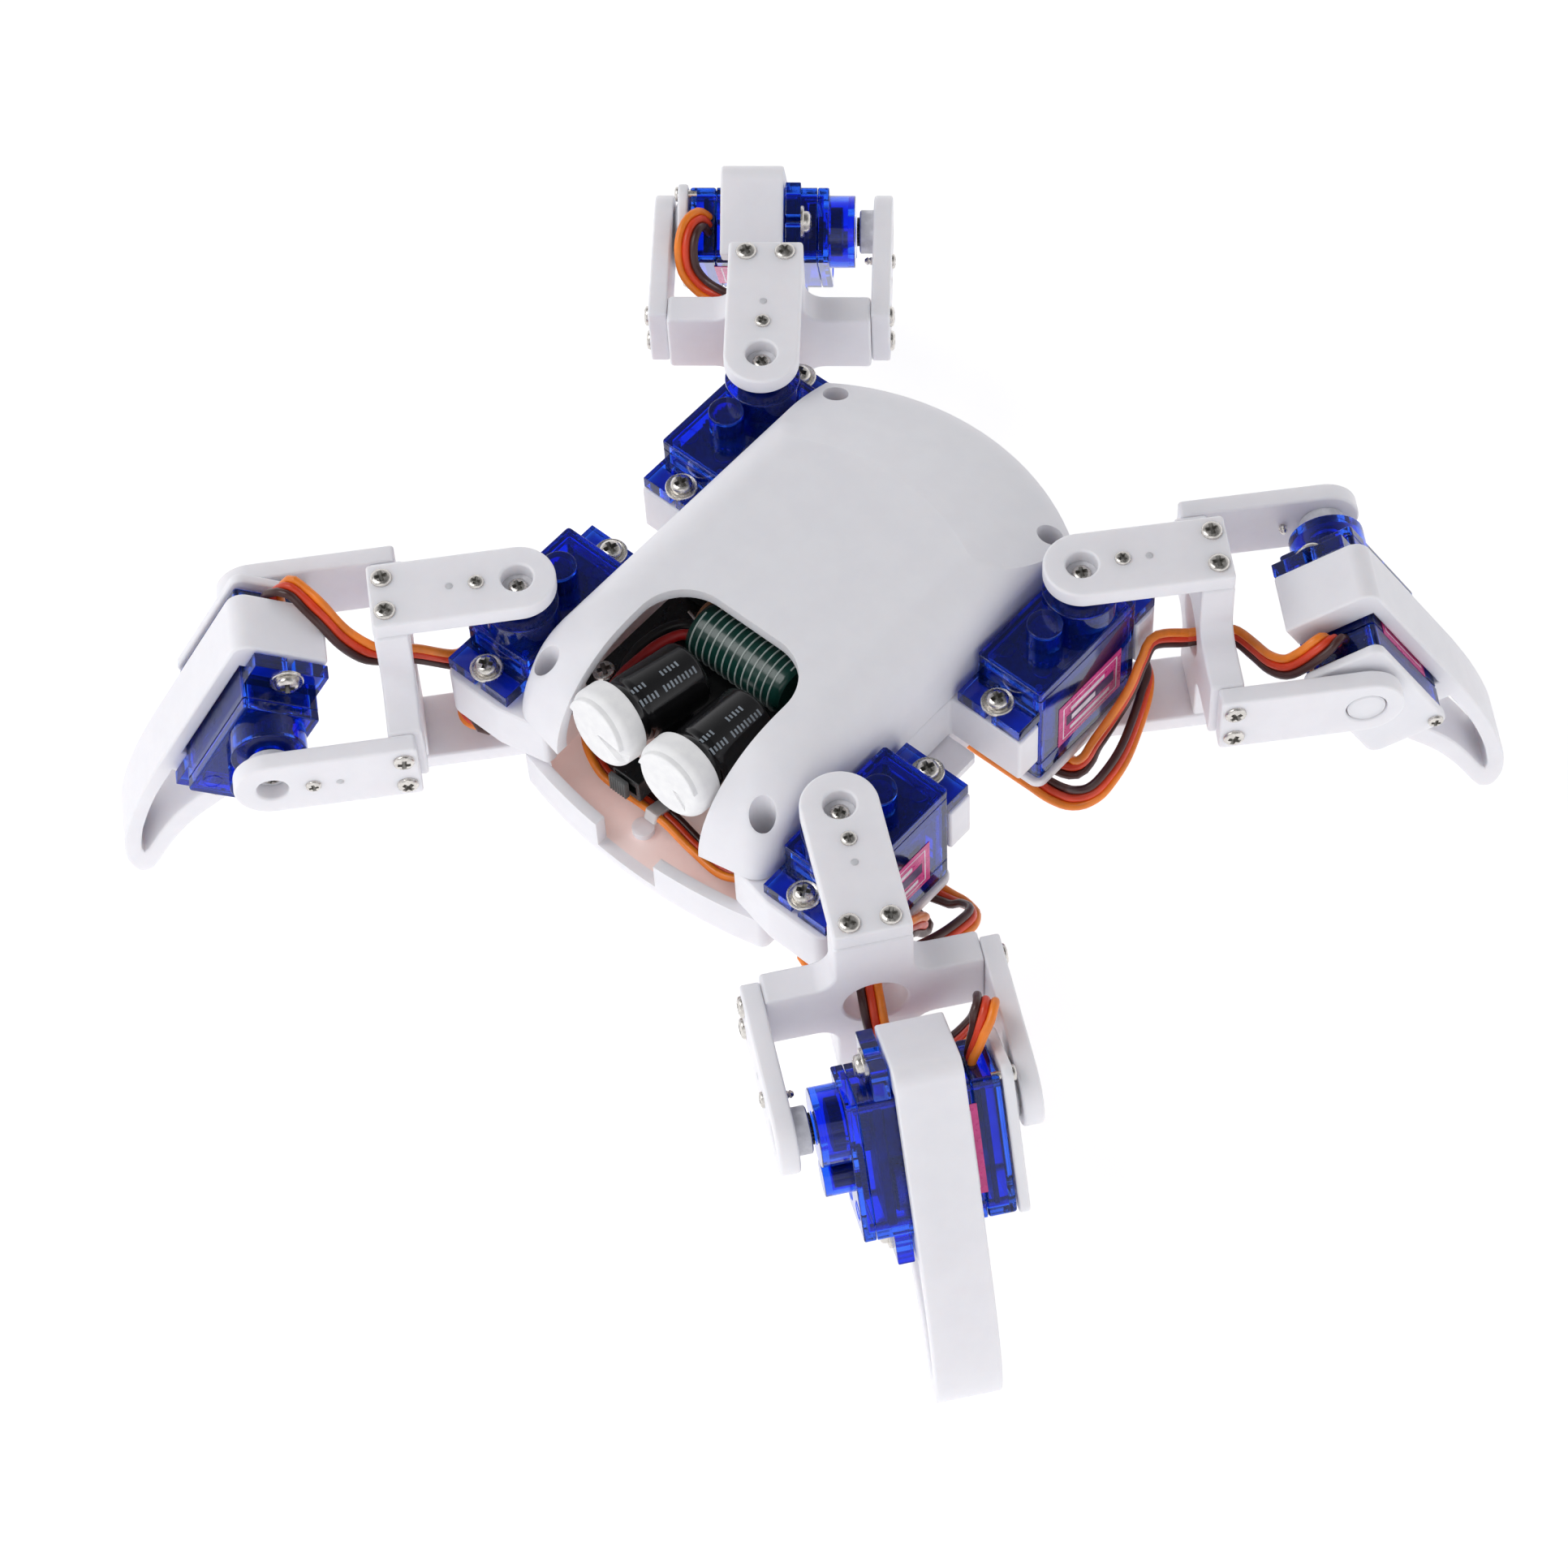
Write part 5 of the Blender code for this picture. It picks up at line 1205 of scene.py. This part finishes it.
clip = slab(rectangle(-1.2, 1.2, -2.3, 2.3, 0.4, 3), -1.0, 1.0, edge=0.2, steps=2)
harness = [(ribbon_mesh(FRONT_HARNESS_RUN, [(0, -1, 0.4)] * len(FRONT_HARNESS_RUN)), HERE, None),
           (clip, shift(-1.6, -31.6, -14.8) @ turn(-20, "X"), CLEAR)]
piece("harness_front", gathered(harness), BODY, "chassis", ["front_harness"])


# ---- stage, light and camera

CAMERA_FROM_CENTRE = (274.38, -290.00, 559.99)
CAMERA_RIGHT = (0.75455, 0.65531, -0.03515)
CAMERA_AWAY = (0.38386, -0.39729, 0.83355)
FLOOR_SIZE = 4.0
LIT_POINT = (0, 0, 0.03)
SIDE_BRIGHTNESS, OVERHEAD_BRIGHTNESS = 1.35, 0.15


def stage_floor():
    built = bmesh.new()
    bmesh.ops.create_grid(built, x_segments=8, y_segments=8, size=FLOOR_SIZE / 2)
    mesh = finished(built)
    mesh.materials.append(new_material("studio_paper", (0.5, 0.5, 0.51), 0.8, Specular_IOR_Level=0.1,
                                       Emission_Color=(1, 1, 1, 1), Emission_Strength=0.74))
    floor = add_object("studio_floor", mesh)
    floor.location.z = -0.0002


def area_light(name, location, size, power):
    """A round soft light that points at the robot."""
    lamp = bpy.data.lights.new(name, "AREA")
    lamp.shape = "DISK"
    lamp.size = size
    lamp.energy = power
    made = add_object(name, lamp)
    made.location = location
    made.rotation_mode = "QUATERNION"
    made.rotation_quaternion = (Vector(LIT_POINT) - Vector(location)).to_track_quat("-Z", "Y")


def studio():
    """A white light tent: bright round the sides and dim overhead, with a soft key light and a fill."""
    world = bpy.data.worlds.new("light_tent")
    world.use_nodes = True
    link, background = world.node_tree.links.new, world.node_tree.nodes["Background"]
    split = node(world, "SeparateXYZ")
    fade = node(world, "MapRange", From_Max=0.85, To_Min=SIDE_BRIGHTNESS, To_Max=OVERHEAD_BRIGHTNESS)
    background.inputs["Color"].default_value = (1.0, 1.0, 1.02, 1)
    link(node(world, "TexCoord").outputs["Generated"], split.inputs["Vector"])
    link(split.outputs["Z"], fade.inputs["Value"])
    link(fade.outputs["Result"], background.inputs["Strength"])
    bpy.context.scene.world = world
    area_light("key", (-0.35, -0.3, 0.75), 0.5, 2.4)
    area_light("fill", (0.35, -0.45, 0.6), 0.6, 0.55)
    bpy.context.scene.view_settings.view_transform = "Standard"
    bpy.context.scene.view_settings.look = "None"


def camera():
    made = bpy.data.cameras.new("camera")
    made.lens = 104.96
    made.sensor_width = 36
    made.clip_start = 0.01
    view = add_object("camera", made)
    view.matrix_world = BODY @ axes(CAMERA_FROM_CENTRE, CAMERA_RIGHT, CAMERA_AWAY)
    bpy.context.scene.camera = view


stage_floor()
studio()
camera()
